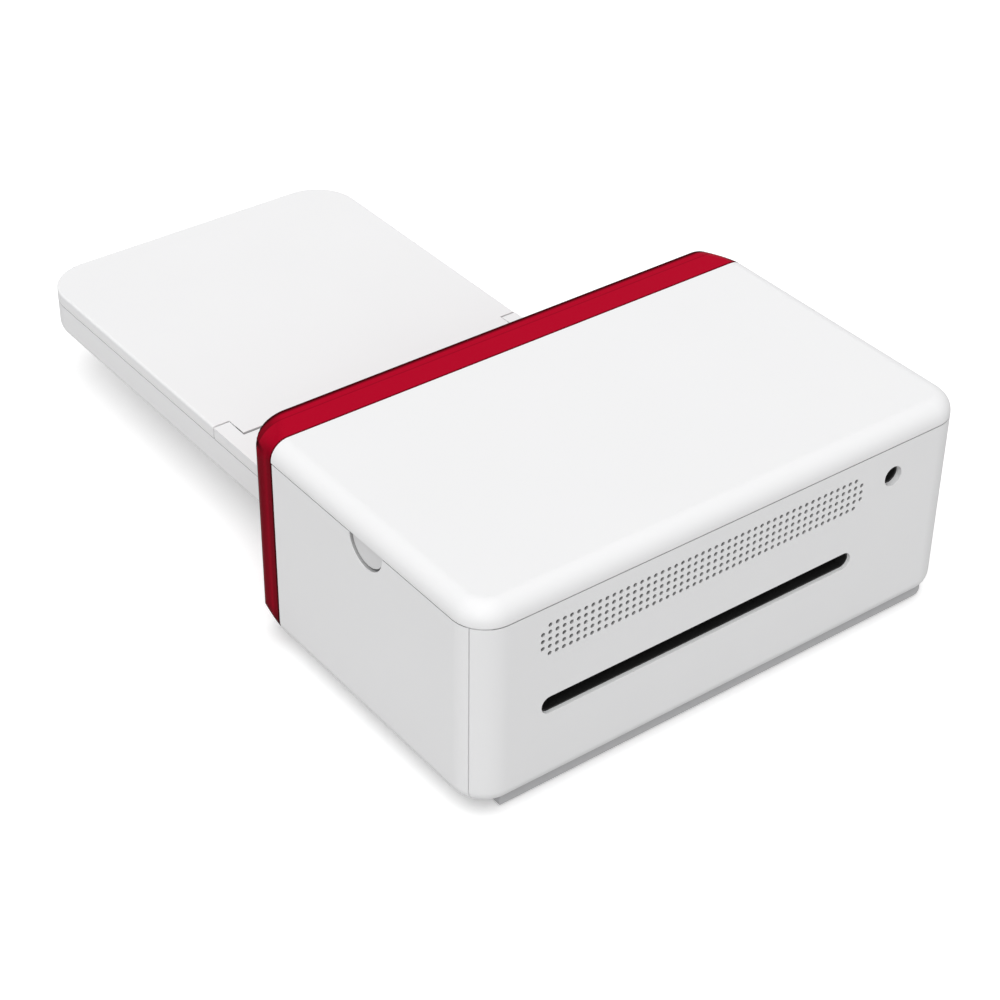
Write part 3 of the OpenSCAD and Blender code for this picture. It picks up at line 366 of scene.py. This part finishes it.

# %% [markdown]
# ## The red cap
#
# The cap is a deep, slightly see-through plastic. Its top is a clear red, its
# upright faces are much darker, and at the edge against the white shell and round
# the front it turns maroon. The darker faces and edges are shade, painted into the
# red. A see-through shader could give such depth, with long and noisy renders. The
# painted shade follows the cap's own shape, so it is ramps over its direction and
# over its own coordinates instead.

# %% Measure the cap
cap_front_y, cap_back_y = span("front_cap", "Y")
cap_foot, cap_top = span("front_cap", "Z")
cap_half = span("front_cap", "X")[1]
cap_line_y = cap_front_y + 3.5 * mm
clear_red = own_colour(cap_red)[1]
print("cap:", round((cap_back_y - cap_front_y) / mm, 1), "mm deep")

# %% [markdown]
# The top faces the lights above and shows the clearest red. The more a surface
# turns to the side or to the front, the less light it gets, and the deeper the
# shade that is painted into its colour. The surface's direction gives both.

# %% Paint shade on it by direction
upright_shade = 0.40
# painted shade: upright faces get a darker red than the top, and forward faces darker still
deepen(cap_red, ramp(cap_red, "Normal", "Z", [
    (0.0, upright_shade), (0.35, 0.55), (0.75, 0.9), (1.0, 1.0),
]))
deepen(cap_red, ramp(cap_red, "Normal", "Y", [
    (-0.8, 0.2), (-0.5, 0.4), (-0.3, 0.85), (-0.1, 0.7), (0.2, 1.0),
]))
print("cap: upright faces at", upright_shade, "of the top's red")

# %% [markdown]
# Along the depth come a dark edge at the front, the fine moulding line three and a
# half millimetres behind it, and a dark line at the joint with the white shell. All
# three are painted shade. Grooves in the mesh could give the fine ones, but the soft
# light would leave them pale, so all of them are drawn.

# %% Paint the shade lines along its depth
# painted shade: the dark front edge, the moulding line and the joint line
deepen(cap_red, ramp(cap_red, "Object", "Y", [
    (cap_front_y, 0.13), (cap_front_y + 0.8 * mm, 0.17),
    (cap_front_y + 1.3 * mm, 0.65), (cap_front_y + 1.8 * mm, 1.0),
    (cap_line_y - 0.3 * mm, 0.97), (cap_line_y - 0.05 * mm, 0.7),
    (cap_line_y + 0.05 * mm, 0.7), (cap_line_y + 0.3 * mm, 1.0),
    (cap_back_y - 0.75 * mm, 1.0), (cap_back_y - 0.4 * mm, 0.35), (cap_back_y, 0.35),
]))
print("cap: front edge, moulding line and joint are drawn, the line at", round(cap_line_y, 4), "m")

# %% [markdown]
# The upright faces get soft lengthways bands of painted light and shade, one of
# them lighter, where light runs along inside the clear wall. The flat top has none,
# so a ramp over the direction fades them out towards it.

# %% Paint bands of light and shade on the upright faces
# painted light and shade: a darker band at the front, a painted highlight band near the joint
painted_side_bands = ramp(cap_red, "Object", "Y", [
    (cap_front_y, 0.85), (cap_line_y, 0.85), (cap_line_y + 0.4 * mm, 1.0),
    (cap_back_y - 4.5 * mm, 1.15), (cap_back_y - 3.0 * mm, 1.6),
    (cap_back_y - 2.0 * mm, 1.15), (cap_back_y, 1.0),
])
lies_flat = ramp(cap_red, "Normal", "Z", [(0.0, 0.0), (0.1, 0.0), (0.5, 1.0), (1.0, 1.0)])
deepen(cap_red, mixed(cap_red, lies_flat, painted_side_bands, pure_white))
print("cap: its sides have bands")

# %% [markdown]
# On the door's side a small dark mark crosses the corner, thick at the front and
# gone before the joint: a line of painted shade. It is a product of two ramps, one
# along the cap and one across the mark, kept to that side by a test.
# The seams below are found in the same way, so the product is a helper.

# %% Helpers that shade a chosen place
def all_of(material, *tests):
    # 1 where every test is 1
    product = tests[0]
    for test in tests[1:]:
        product = step(material, "MULTIPLY", product, test)
    return product


def shade_where(material, where, depth):
    # take a share of the light away where the tests hold
    deepen(material, step(material, "MULTIPLY_ADD", where, -depth, 1.0))


# %% Paint the dark mark across the corner
mark_height = 64.0 * mm
mark_from_x = 70 * mm
mark_along = ramp(cap_red, "Object", "Y", [
    (cap_front_y, 1.0), (cap_line_y, 1.0), (cap_line_y + 1.6 * mm, 0.6), (cap_line_y + 4.1 * mm, 0.0),
])
mark_across = ramp(cap_red, "Object", "Z", [
    (mark_height - 0.8 * mm, 0.0), (mark_height - 0.3 * mm, 1.0),
    (mark_height + 0.3 * mm, 1.0), (mark_height + 0.8 * mm, 0.0),
])
door_side = step(cap_red, "GREATER_THAN", axis(cap_red, "Object", "X"), mark_from_x)
# painted shade: the dark line across the corner on the door's side
shade_where(cap_red, all_of(cap_red, mark_along, mark_across, door_side), depth=0.8)
print("cap: parting mark at", mark_height, "m")

# %% [markdown]
# The band in front of the moulding line gets painted shade where it turns round a
# corner. The far corner and the rounded foot are seen almost edge on and get
# painted shade too.

# %% Paint shade on the corners and the foot
# painted shade on the front band's corners, the far corner and the foot
front_band = ramp(cap_red, "Object", "Y", [
    (cap_front_y, 1.0), (cap_line_y - 0.2 * mm, 1.0), (cap_line_y + 0.3 * mm, 0.0), (cap_back_y, 0.0),
])
turning = ramp(cap_red, "Normal", "Z", [
    (0.0, 0.1), (0.3, 0.6), (0.6, 1.0), (0.9, 0.8), (1.0, 0.0),
])
shade_where(cap_red, all_of(cap_red, front_band, turning), depth=0.5)
deepen(cap_red, ramp(cap_red, "Object", "X", [
    (-cap_half, 1.0), (0.8 * mm - cap_half, 0.8), (1.4 * mm - cap_half, 0.28),
    (3.6 * mm - cap_half, 0.25), (4.5 * mm - cap_half, 0.7), (5.3 * mm - cap_half, 1.0),
]))
deepen(cap_red, ramp(cap_red, "Object", "Z", [
    (cap_foot, 0.2), (cap_foot + 3.0 * mm, 0.25), (cap_foot + 5.5 * mm, 0.7), (cap_foot + 8.5 * mm, 1.0),
]))
print("cap: corners and foot are shaded")

# %% [markdown]
# The flat front would take all of these factors at once and turn black. It gets an
# even painted shade of deep red instead, a little darker at its foot: the clear red
# kept from the start, shaded so, is mixed back in where the surface faces straight
# forwards.

# %% Clear the front again
faces_front = ramp(cap_red, "Normal", "Y", [(-1.0, 1.0), (-0.97, 1.0), (-0.9, 0.0), (1.0, 0.0)])
# painted shade on the flat front, darker at its foot
front_shade = ramp(cap_red, "Object", "Z", [(cap_foot + 0.5 * mm, 0.5), (cap_top - 0.8 * mm, 0.7)])
front_red = mixed(cap_red, 1.0, clear_red, front_shade, "MULTIPLY")
cap_slot, cap_colour = own_colour(cap_red)
plug(cap_red, cap_slot, mixed(cap_red, faces_front, cap_colour, front_red))
print("cap: nodes in its finish:", len(cap_red.node_tree.nodes))

# %% [markdown]
# ## Shade in the seams and holes
#
# The seams of the shell are three tenths of a millimetre wide and the vent holes
# little more than one. Light that enters them hardly comes out again, so both read
# as fine dark lines and dots, and that shade is painted into the white. All the
# shells are of one white plastic, but each gets a material of its own, so that its
# own rims, holes or walls can get painted shade.

# %% One white for each shell, to carry its own painted shade
shaded_whites = {
    name: plastic(name, (0.785, 0.785, 0.79), rough=0.5, grain=0.000006)
    for name in ("rim_white", "door_white", "vent_white", "cover_white", "tray_white", "joint_white")
}
print("whites:", *shaded_whites)

# %% [markdown]
# The gaps in the meshes are real, but in a white studio light still finds its way
# into them. So the rims that face the seam get painted shade. Separate strips of a
# dark material could lie there; tests on place and direction pick the rims out
# without cutting the mesh.

# %% Shade the rims that face the seam
seam_height = span("side_door", "Z")[1]
side_face = span("side_door", "X")[1]
rear_face = span("main_housing", "Y")[1]
rim_width = 1.2 * mm
looks_up = 0.9


def shaded_rim(material):
    # the outer edge of the faces that look up at the cover, which gets painted shade
    at_seam = step(material, "COMPARE", axis(material, "Object", "Z"), seam_height, 0.1 * mm)
    facing_up = step(material, "GREATER_THAN", axis(material, "Normal", "Z"), looks_up)
    width = step(material, "ABSOLUTE", axis(material, "Object", "X"))
    out_side = step(material, "SUBTRACT", width, side_face - rim_width)
    out_rear = step(material, "SUBTRACT", axis(material, "Object", "Y"), rear_face - rim_width)
    outer = step(material, "GREATER_THAN", step(material, "MAXIMUM", out_side, out_rear), 0.0)
    shade_where(material, all_of(material, at_seam, facing_up, outer), depth=0.4)


shaded_rim(shaded_whites["rim_white"])
shaded_rim(shaded_whites["door_white"])
print("seam shaded at", seam_height, "m,", rim_width, "m wide")

# %% [markdown]
# The finger notch is a half-round cut in the door's upper edge. Its wall lies in
# shadow, and the cover's pad behind it lies in shade too; both get painted shade,
# the pad a little greyer than the cover.

# %% Shade the finger notch
notch_middle = 4.3 * mm
notch_reach = 7.7 * mm
notch_foot = 54.9 * mm


def shaded_notch(material):
    # the wall of the notch, from just under the door's face inwards, gets painted shadow
    near_top = step(material, "GREATER_THAN", axis(material, "Object", "Z"), notch_foot)
    tilt = step(material, "ABSOLUTE", axis(material, "Normal", "X"))
    sideways = step(material, "LESS_THAN", tilt, 0.5)
    off_middle = step(material, "SUBTRACT", axis(material, "Object", "Y"), notch_middle)
    near_notch = step(material, "LESS_THAN", step(material, "ABSOLUTE", off_middle), notch_reach)
    below_face = step(material, "LESS_THAN", axis(material, "Object", "X"), side_face - 0.25 * mm)
    shade_where(material, all_of(material, near_top, sideways, near_notch, below_face), depth=0.5)


shaded_notch(shaded_whites["door_white"])
# painted shade: the cover's pad below the seam is greyer
deepen(shaded_whites["cover_white"], ramp(shaded_whites["cover_white"], "Object", "Z", [
    (seam_height - 0.2 * mm, 0.84), (seam_height + 0.1 * mm, 1.0),
]))
print("notch shaded", notch_reach, "m to either side of", notch_middle, "m")

# %% [markdown]
# Each vent hole gets painted shade over its first millimetre, deeper and deeper
# with the depth.

# %% Shade the vent holes
deepen(shaded_whites["vent_white"], ramp(shaded_whites["vent_white"], "Object", "Y", [
    (rear_face - 0.9 * mm, 0.3), (rear_face - 0.4 * mm, 0.42),
    (rear_face - 0.1 * mm, 0.8), (rear_face, 1.0),
]))
print("vents shaded below", rear_face, "m")

# %% [markdown]
# The cassette has a seam all round under its lid. The rim below it gets a light
# painted shade, only near its edge, as it shows when the lid is open.

# %% Shade the cassette's rim
tray_rim = span("cassette_tray", "Z")[1]
tray_rim_width = 0.7 * mm
cassette_low_x, cassette_high_x = span("cassette_tray", "X")
cassette_middle = (cassette_low_x + cassette_high_x) / 2
cassette_side = (cassette_high_x - cassette_low_x) / 2


def off_centre(material):
    return step(material, "ABSOLUTE", step(
        material, "SUBTRACT", axis(material, "Object", "X"), cassette_middle))


# painted shade on the outer edge of the cassette's rim under the lid
def shaded_tray(material):
    at_seam = step(material, "COMPARE", axis(material, "Object", "Z"), tray_rim, 0.05 * mm)
    facing_up = step(material, "GREATER_THAN", axis(material, "Normal", "Z"), looks_up)
    outer = step(material, "GREATER_THAN", off_centre(material), cassette_side - tray_rim_width)
    shade_where(material, all_of(material, at_seam, facing_up, outer), depth=0.2)


shaded_tray(shaded_whites["tray_white"])
print("cassette:", round(2 * cassette_side, 4), "m wide, rim shaded at", tray_rim, "m")

# %% [markdown]
# The lid meets the fixed cover in a stepped line between the cover's two ears. The
# walls of that joint face each other and lie in shadow, which is painted onto them.
# They are the upright faces behind the front of the ears that don't belong to the
# cassette's own sides.

# %% Shade the joint of lid and cover
ears_from_y = -100 * mm


# painted shadow on the facing walls of the joint between lid and cover
def shaded_joint(material):
    slope = step(material, "ABSOLUTE", axis(material, "Normal", "Z"))
    upright = step(material, "LESS_THAN", slope, 0.85)
    inside = step(material, "LESS_THAN", off_centre(material), cassette_side - 0.15 * mm)
    near_ears = step(material, "GREATER_THAN", axis(material, "Object", "Y"), ears_from_y)
    shade_where(material, all_of(material, upright, inside, near_ears), depth=0.6)


shaded_joint(shaded_whites["joint_white"])
print("cassette: joint shaded behind", ears_from_y, "m")

# %% [markdown]
# ## Metals and the circuit board
#
# The plates and shafts inside are plated steel, rolled or turned, so their grain
# is drawn out in one direction. The shader's own anisotropy could show that, but it
# asks for tangents. Stretching a noise along the grain with a Mapping node gives it
# simply, in roughness and in a very low bump.

# %% Metals
def drawn_metal(name, colour, rough, stretch):
    material = plastic(name, colour, rough=rough, cloud=0.05, metal=1.0, grain=0.000004)
    along = material.node_tree.nodes.new("ShaderNodeMapping")
    along.inputs["Scale"].default_value = stretch
    plug(material, along.inputs["Vector"], place_on(material))
    for node in material.node_tree.nodes:
        if node.type == "TEX_NOISE" and node.inputs["Scale"].default_value > cloud_scale:
            plug(material, node.inputs["Vector"], along.outputs["Vector"])
    print("metal:", name)
    return material


steel = drawn_metal("steel", (0.60, 0.61, 0.62), rough=0.32, stretch=(0.05, 1, 1))
heat_sink = drawn_metal("heat_sink", (0.72, 0.73, 0.74), rough=0.38, stretch=(0.04, 1, 1))
brass = drawn_metal("brass", (0.78, 0.60, 0.30), rough=0.3, stretch=(0.3, 1, 1))

# %% [markdown]
# The boards are green lacquer over copper tracks. Modelled tracks would hardly
# show, so thin bands of a wave pattern make them, a shade lighter than the lacquer,
# as they show through it.

# %% The circuit board
lacquer = (0.010, 0.10, 0.035, 1)
lacquer_over_copper = (0.03, 0.22, 0.08, 1)
board_green = plastic("board_green", lacquer[:3], rough=0.25, coat=0.4)
tracks = board_green.node_tree.nodes.new("ShaderNodeTexWave")
tracks.inputs["Scale"].default_value = 160
tracks.inputs["Distortion"].default_value = 6
tracks.inputs["Detail"].default_value = 0
plug(board_green, tracks.inputs["Vector"], place_on(board_green))
narrow = board_green.node_tree.nodes.new("ShaderNodeMapRange")
narrow.inputs["From Min"].default_value = 0.7
narrow.inputs["From Max"].default_value = 0.8
plug(board_green, narrow.inputs["Value"], tracks.outputs["Fac"])
board_slot = own_colour(board_green)[0]
plug(board_green, board_slot, mixed(board_green, narrow.outputs["Result"], lacquer, lacquer_over_copper))
print("board:", board_green.name)

# %% [markdown]
# ## Finishes go on the parts
#
# Every part of the frame gets one finish. They could be set one after the other,
# but a list that reads like a parts list shows at once what is made of what: the
# finish first, then all that is made so.

# %% List what is made of what
finishes = {
    shaded_whites["tray_white"]: "cassette_tray",
    shaded_whites["joint_white"]: "cassette_cover cassette_lid",
    shaded_whites["rim_white"]: "main_housing",
    shaded_whites["door_white"]: "side_door",
    shaded_whites["vent_white"]: "vent_grille",
    shaded_whites["cover_white"]: "top_cover",
    cap_red: "front_cap",
    base_grey: "base_plate",
    guide_black: "exit_guide dc_jack",
    inner_black: "cassette_guide_left cassette_guide_right cartridge_frame",
    dark_plastic: "lift_plate pinch_roller",
    rubber: "rubber_feet platen_rubber pickup_tyres",
    gear_ivory: "feed_gear pickup_gear idler_gear takeup_drive supply_spool takeup_spool cam_shaft",
    button_silver: "power_button",
    light_pipe: "status_light",
    ribbon_dye: "supply_ribbon takeup_ribbon ribbon_film",
    head_ceramic: "thermal_head",
    heat_sink: "head_heatsink",
    brass: "motor_pinion",
    board_green: "button_board main_board",
    steel: "door_hinge_rod base_screws dc_pin chassis_left chassis_right chassis_bar_front "
    "chassis_bar_rear chassis_screws head_bracket head_pivot_shaft platen_shaft feed_roller "
    "pickup_shaft feed_motor",
}
print(len(finishes), "finishes are in use")

# %% [markdown]
# A finish belongs to the mesh, so the material goes there. A part that the list
# forgets would stay grey, which the last line would tell.

# %% Give each part its finish
def finish_mesh(mesh, material):
    mesh.materials.clear()
    mesh.materials.append(material)


finished = set()
for material, names in finishes.items():
    for name in names.split():
        finish_mesh(nodes[name].data, material)
        finished.add(name)
print("parts without a finish:", sorted(set(nodes) - finished) or "none")

# %% [markdown]
# ## Softened edges
#
# No moulded edge is knife-sharp: even a crisp one has a radius of one to three
# tenths of a millimetre, and that radius is what catches the light along a seam.
# The frame's meshes are loose triangles, in which a Bevel modifier would find no
# whole edge. So each outer shell is copied first, its corners are welded and its
# flat areas are joined into whole faces.

# %% Weld a shell into one skin
weld_distance = 2e-6
flat_angle = math.radians(0.3)


def weld(bm):
    bmesh.ops.remove_doubles(bm, verts=bm.verts, dist=weld_distance)
    bmesh.ops.dissolve_limit(bm, angle_limit=flat_angle, verts=bm.verts, edges=bm.edges)


# %% [markdown]
# Then only the edges that are sharp get a small bevel of three segments, about as
# fine as the picture can show. The corners that the frame rounds already turn by
# less than the sharp angle from face to face, so they are left as they are.

# %% Round its sharp edges
sharp_angle = math.radians(32)


def round_edges(bm, radius):
    bm.normal_update()
    edges = [e for e in bm.edges if len(e.link_faces) == 2 and e.calc_face_angle(0) > sharp_angle]
    bmesh.ops.bevel(
        bm, geom=edges, offset=radius, offset_type="OFFSET", segments=3,
        profile=0.5, affect="EDGES", clamp_overlap=True, material=-1,
    )
    return len(edges)


# %% [markdown]
# Smooth shading hides the facets of round stretches. Edges that still turn hard
# stay creased, and a Weighted Normal modifier keeps the large flats flat beside
# their small bevels.

# %% Shade it smooth
crease_angle = math.radians(40)


def smooth(bm):
    bm.normal_update()
    for face in bm.faces:
        face.smooth = True
    for edge in bm.edges:
        edge.smooth = len(edge.link_faces) == 2 and edge.calc_face_angle(0) < crease_angle


# %% [markdown]
# The three steps run on a copy of the mesh. The finished copy rides on the same body
# as the frame's part, moves with it, and takes its place in the picture.

# %% A helper that softens a shell
def softened(node, body, material, radius, reshape=None):
    mesh = nodes[node].data.copy()
    mesh.name = node + "_soft"
    bm = bmesh.new()
    bm.from_mesh(mesh)
    weld(bm)
    if reshape:
        reshape(bm)
    edges = round_edges(bm, radius)
    smooth(bm)
    bm.to_mesh(mesh)
    bm.free()
    piece = bpy.data.objects.new(node + "_soft", mesh)
    scene.collection.objects.link(piece)
    finish_mesh(mesh, material)
    weight = piece.modifiers.new("weighted", "WEIGHTED_NORMAL")
    weight.keep_sharp = True
    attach(piece, body)
    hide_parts(node)
    print(node, "softened along", edges, "edges;", len(mesh.polygons), "faces")


# %% [markdown]
# The cap meets the white shell with the shell's own small corner radii, but its
# front has fuller ones, more than twice as large. They grow slowly at first and
# faster towards the front, so the cap's outline swells. A new cap could be lofted,
# but its inner wall would have to be made again too. The frame's own cap is only
# reshaped: a rule gives the corner's radius at each depth.

# %% How the cap's corners grow
upper_radii = (5.7 * mm, 11.5 * mm)
lower_radii = (4.7 * mm, 11.5 * mm)
growth = 1.5


def corner_radius(y, radii):
    forward = min(1, max(0, (cap_back_y - y) / (cap_back_y - cap_front_y)))
    return radii[0] + (radii[1] - radii[0]) * forward ** growth


print("cap corners half way:", round(corner_radius((cap_front_y + cap_back_y) / 2, upper_radii), 5), "m")

# %% [markdown]
# The cap's mesh is too coarse to bend there, so planes cut it into narrow bands
# first, along its depth and at its corners.

# %% Cut the cap into bands
deep_bands, deep_band = 13, 0.85 * mm
corner_bands, corner_band = 12, 0.95 * mm
corner_start = -0.4 * mm


def cut(bm, place, normal):
    everything = bm.verts[:] + bm.edges[:] + bm.faces[:]
    bmesh.ops.bisect_plane(bm, geom=everything, dist=1e-6, plane_co=place, plane_no=normal)


def cut_bands(bm):
    for band in range(1, deep_bands + 1):
        cut(bm, (0, cap_back_y - band * deep_band, 0), (0, 1, 0))
    for band in range(1, corner_bands + 1):
        inwards = corner_start + band * corner_band
        cut(bm, (0, 0, cap_top - inwards), (0, 0, 1))
        cut(bm, (0, 0, cap_foot + inwards), (0, 0, 1))
        for side in (-1, 1):
            cut(bm, (side * (cap_half - inwards), 0, 0), (1, 0, 0))


print("cap:", deep_bands, "bands along its depth,", corner_bands, "at each corner")

# %% [markdown]
# Every point that stands outside the fuller circle at its depth then slides
# straight in onto it, towards the circle's middle.

# %% Fuller corners for the cap
def fuller_corners(bm):
    cut_bands(bm)
    moved = 0
    for v in bm.verts:
        upper = v.co.z > (cap_top + cap_foot) / 2
        radius = corner_radius(v.co.y, upper_radii if upper else lower_radii)
        middle_x = math.copysign(cap_half - radius, v.co.x)
        middle_z = cap_top - radius if upper else cap_foot + radius
        across, along = v.co.x - middle_x, v.co.z - middle_z
        reach = math.hypot(across, along)
        if across * middle_x > 0 and (along > 0) == upper and reach > radius:
            v.co.x = middle_x + across * radius / reach
            v.co.z = middle_z + along * radius / reach
            moved += 1
    print("cap corners grow to", upper_radii[1], "m;", moved, "points moved")


# %% [markdown]
# The base plate stands out a little further on the side away from the door. All
# else on its mesh is right, so the points of that end simply move outwards.

# %% A wider base plate
plate_reach = 2.6 * mm
plate_end_x = -70 * mm


def wider_plate(bm):
    for v in bm.verts:
        if v.co.x < plate_end_x:
            v.co.x -= plate_reach


print("base plate reaches", plate_reach, "m further")

# %% [markdown]
# The outer shells get their own radius each, in millimetres: crisp ones along the
# seams of the body, finer ones in the vent holes, and fuller ones on the cap, the
# base and the cassette.

# %% Soften the outer shells
shells = [
    ("top_cover", "printer", shaded_whites["cover_white"], 0.12),
    ("main_housing", "printer", shaded_whites["rim_white"], 0.12),
    ("vent_grille", "printer", shaded_whites["vent_white"], 0.06),
    ("front_cap", "printer", cap_red, 0.25),
    ("side_door", "door", shaded_whites["door_white"], 0.12),
    ("base_plate", "printer", base_grey, 0.25),
    ("cassette_tray", "cassette", shaded_whites["tray_white"], 0.25),
    ("cassette_cover", "cassette", shaded_whites["joint_white"], 0.25),
    ("cassette_lid", "lid", shaded_whites["joint_white"], 0.25),
    ("exit_guide", "printer", guide_black, 0.25),
]
reshaped = {"front_cap": fuller_corners, "base_plate": wider_plate}
for node, body, material, round_mm in shells:
    softened(node, body, material, round_mm * mm, reshaped.get(node))

# %% [markdown]
# ## The floor
#
# A plain white sheet, large enough to fill the view. It is pale enough to render
# white in the open and still shows the soft shadow close to the printer. Seen by
# the camera it is almost pure white; to the light it is only mid-grey, so that it
# doesn't throw too much light up onto the printer's sides.

# %% Lay the floor
floor_size = 4.0
floor_gap = 0.1 * mm
seen_white, lit_white = 0.97, 0.57
seen_glow = 0.22

sheet = bmesh.new()
bmesh.ops.create_grid(sheet, x_segments=1, y_segments=1, size=floor_size)
floor_mesh = bpy.data.meshes.new("floor")
sheet.to_mesh(floor_mesh)
sheet.free()
floor = bpy.data.objects.new("floor", floor_mesh)
floor.location.z = -floor_gap
scene.collection.objects.link(floor)

paper_white = plastic("paper_white", [seen_white] * 3, rough=0.9, cloud=0.0, gloss=0.0)
looked_at = paper_white.node_tree.nodes.new("ShaderNodeLightPath").outputs["Is Camera Ray"]
paper = paper_white.node_tree.nodes["Principled BSDF"]
plug(paper_white, paper.inputs["Base Color"], mixed(
    paper_white, looked_at, (lit_white, lit_white, lit_white, 1), (seen_white, seen_white, seen_white, 1)))
paper.inputs["Emission Color"].default_value = pure_white
plug(paper_white, paper.inputs["Emission Strength"], step(paper_white, "MULTIPLY", looked_at, seen_glow))
finish_mesh(floor_mesh, paper_white)
print("floor:", 2 * floor_size, "m wide, just under the feet")
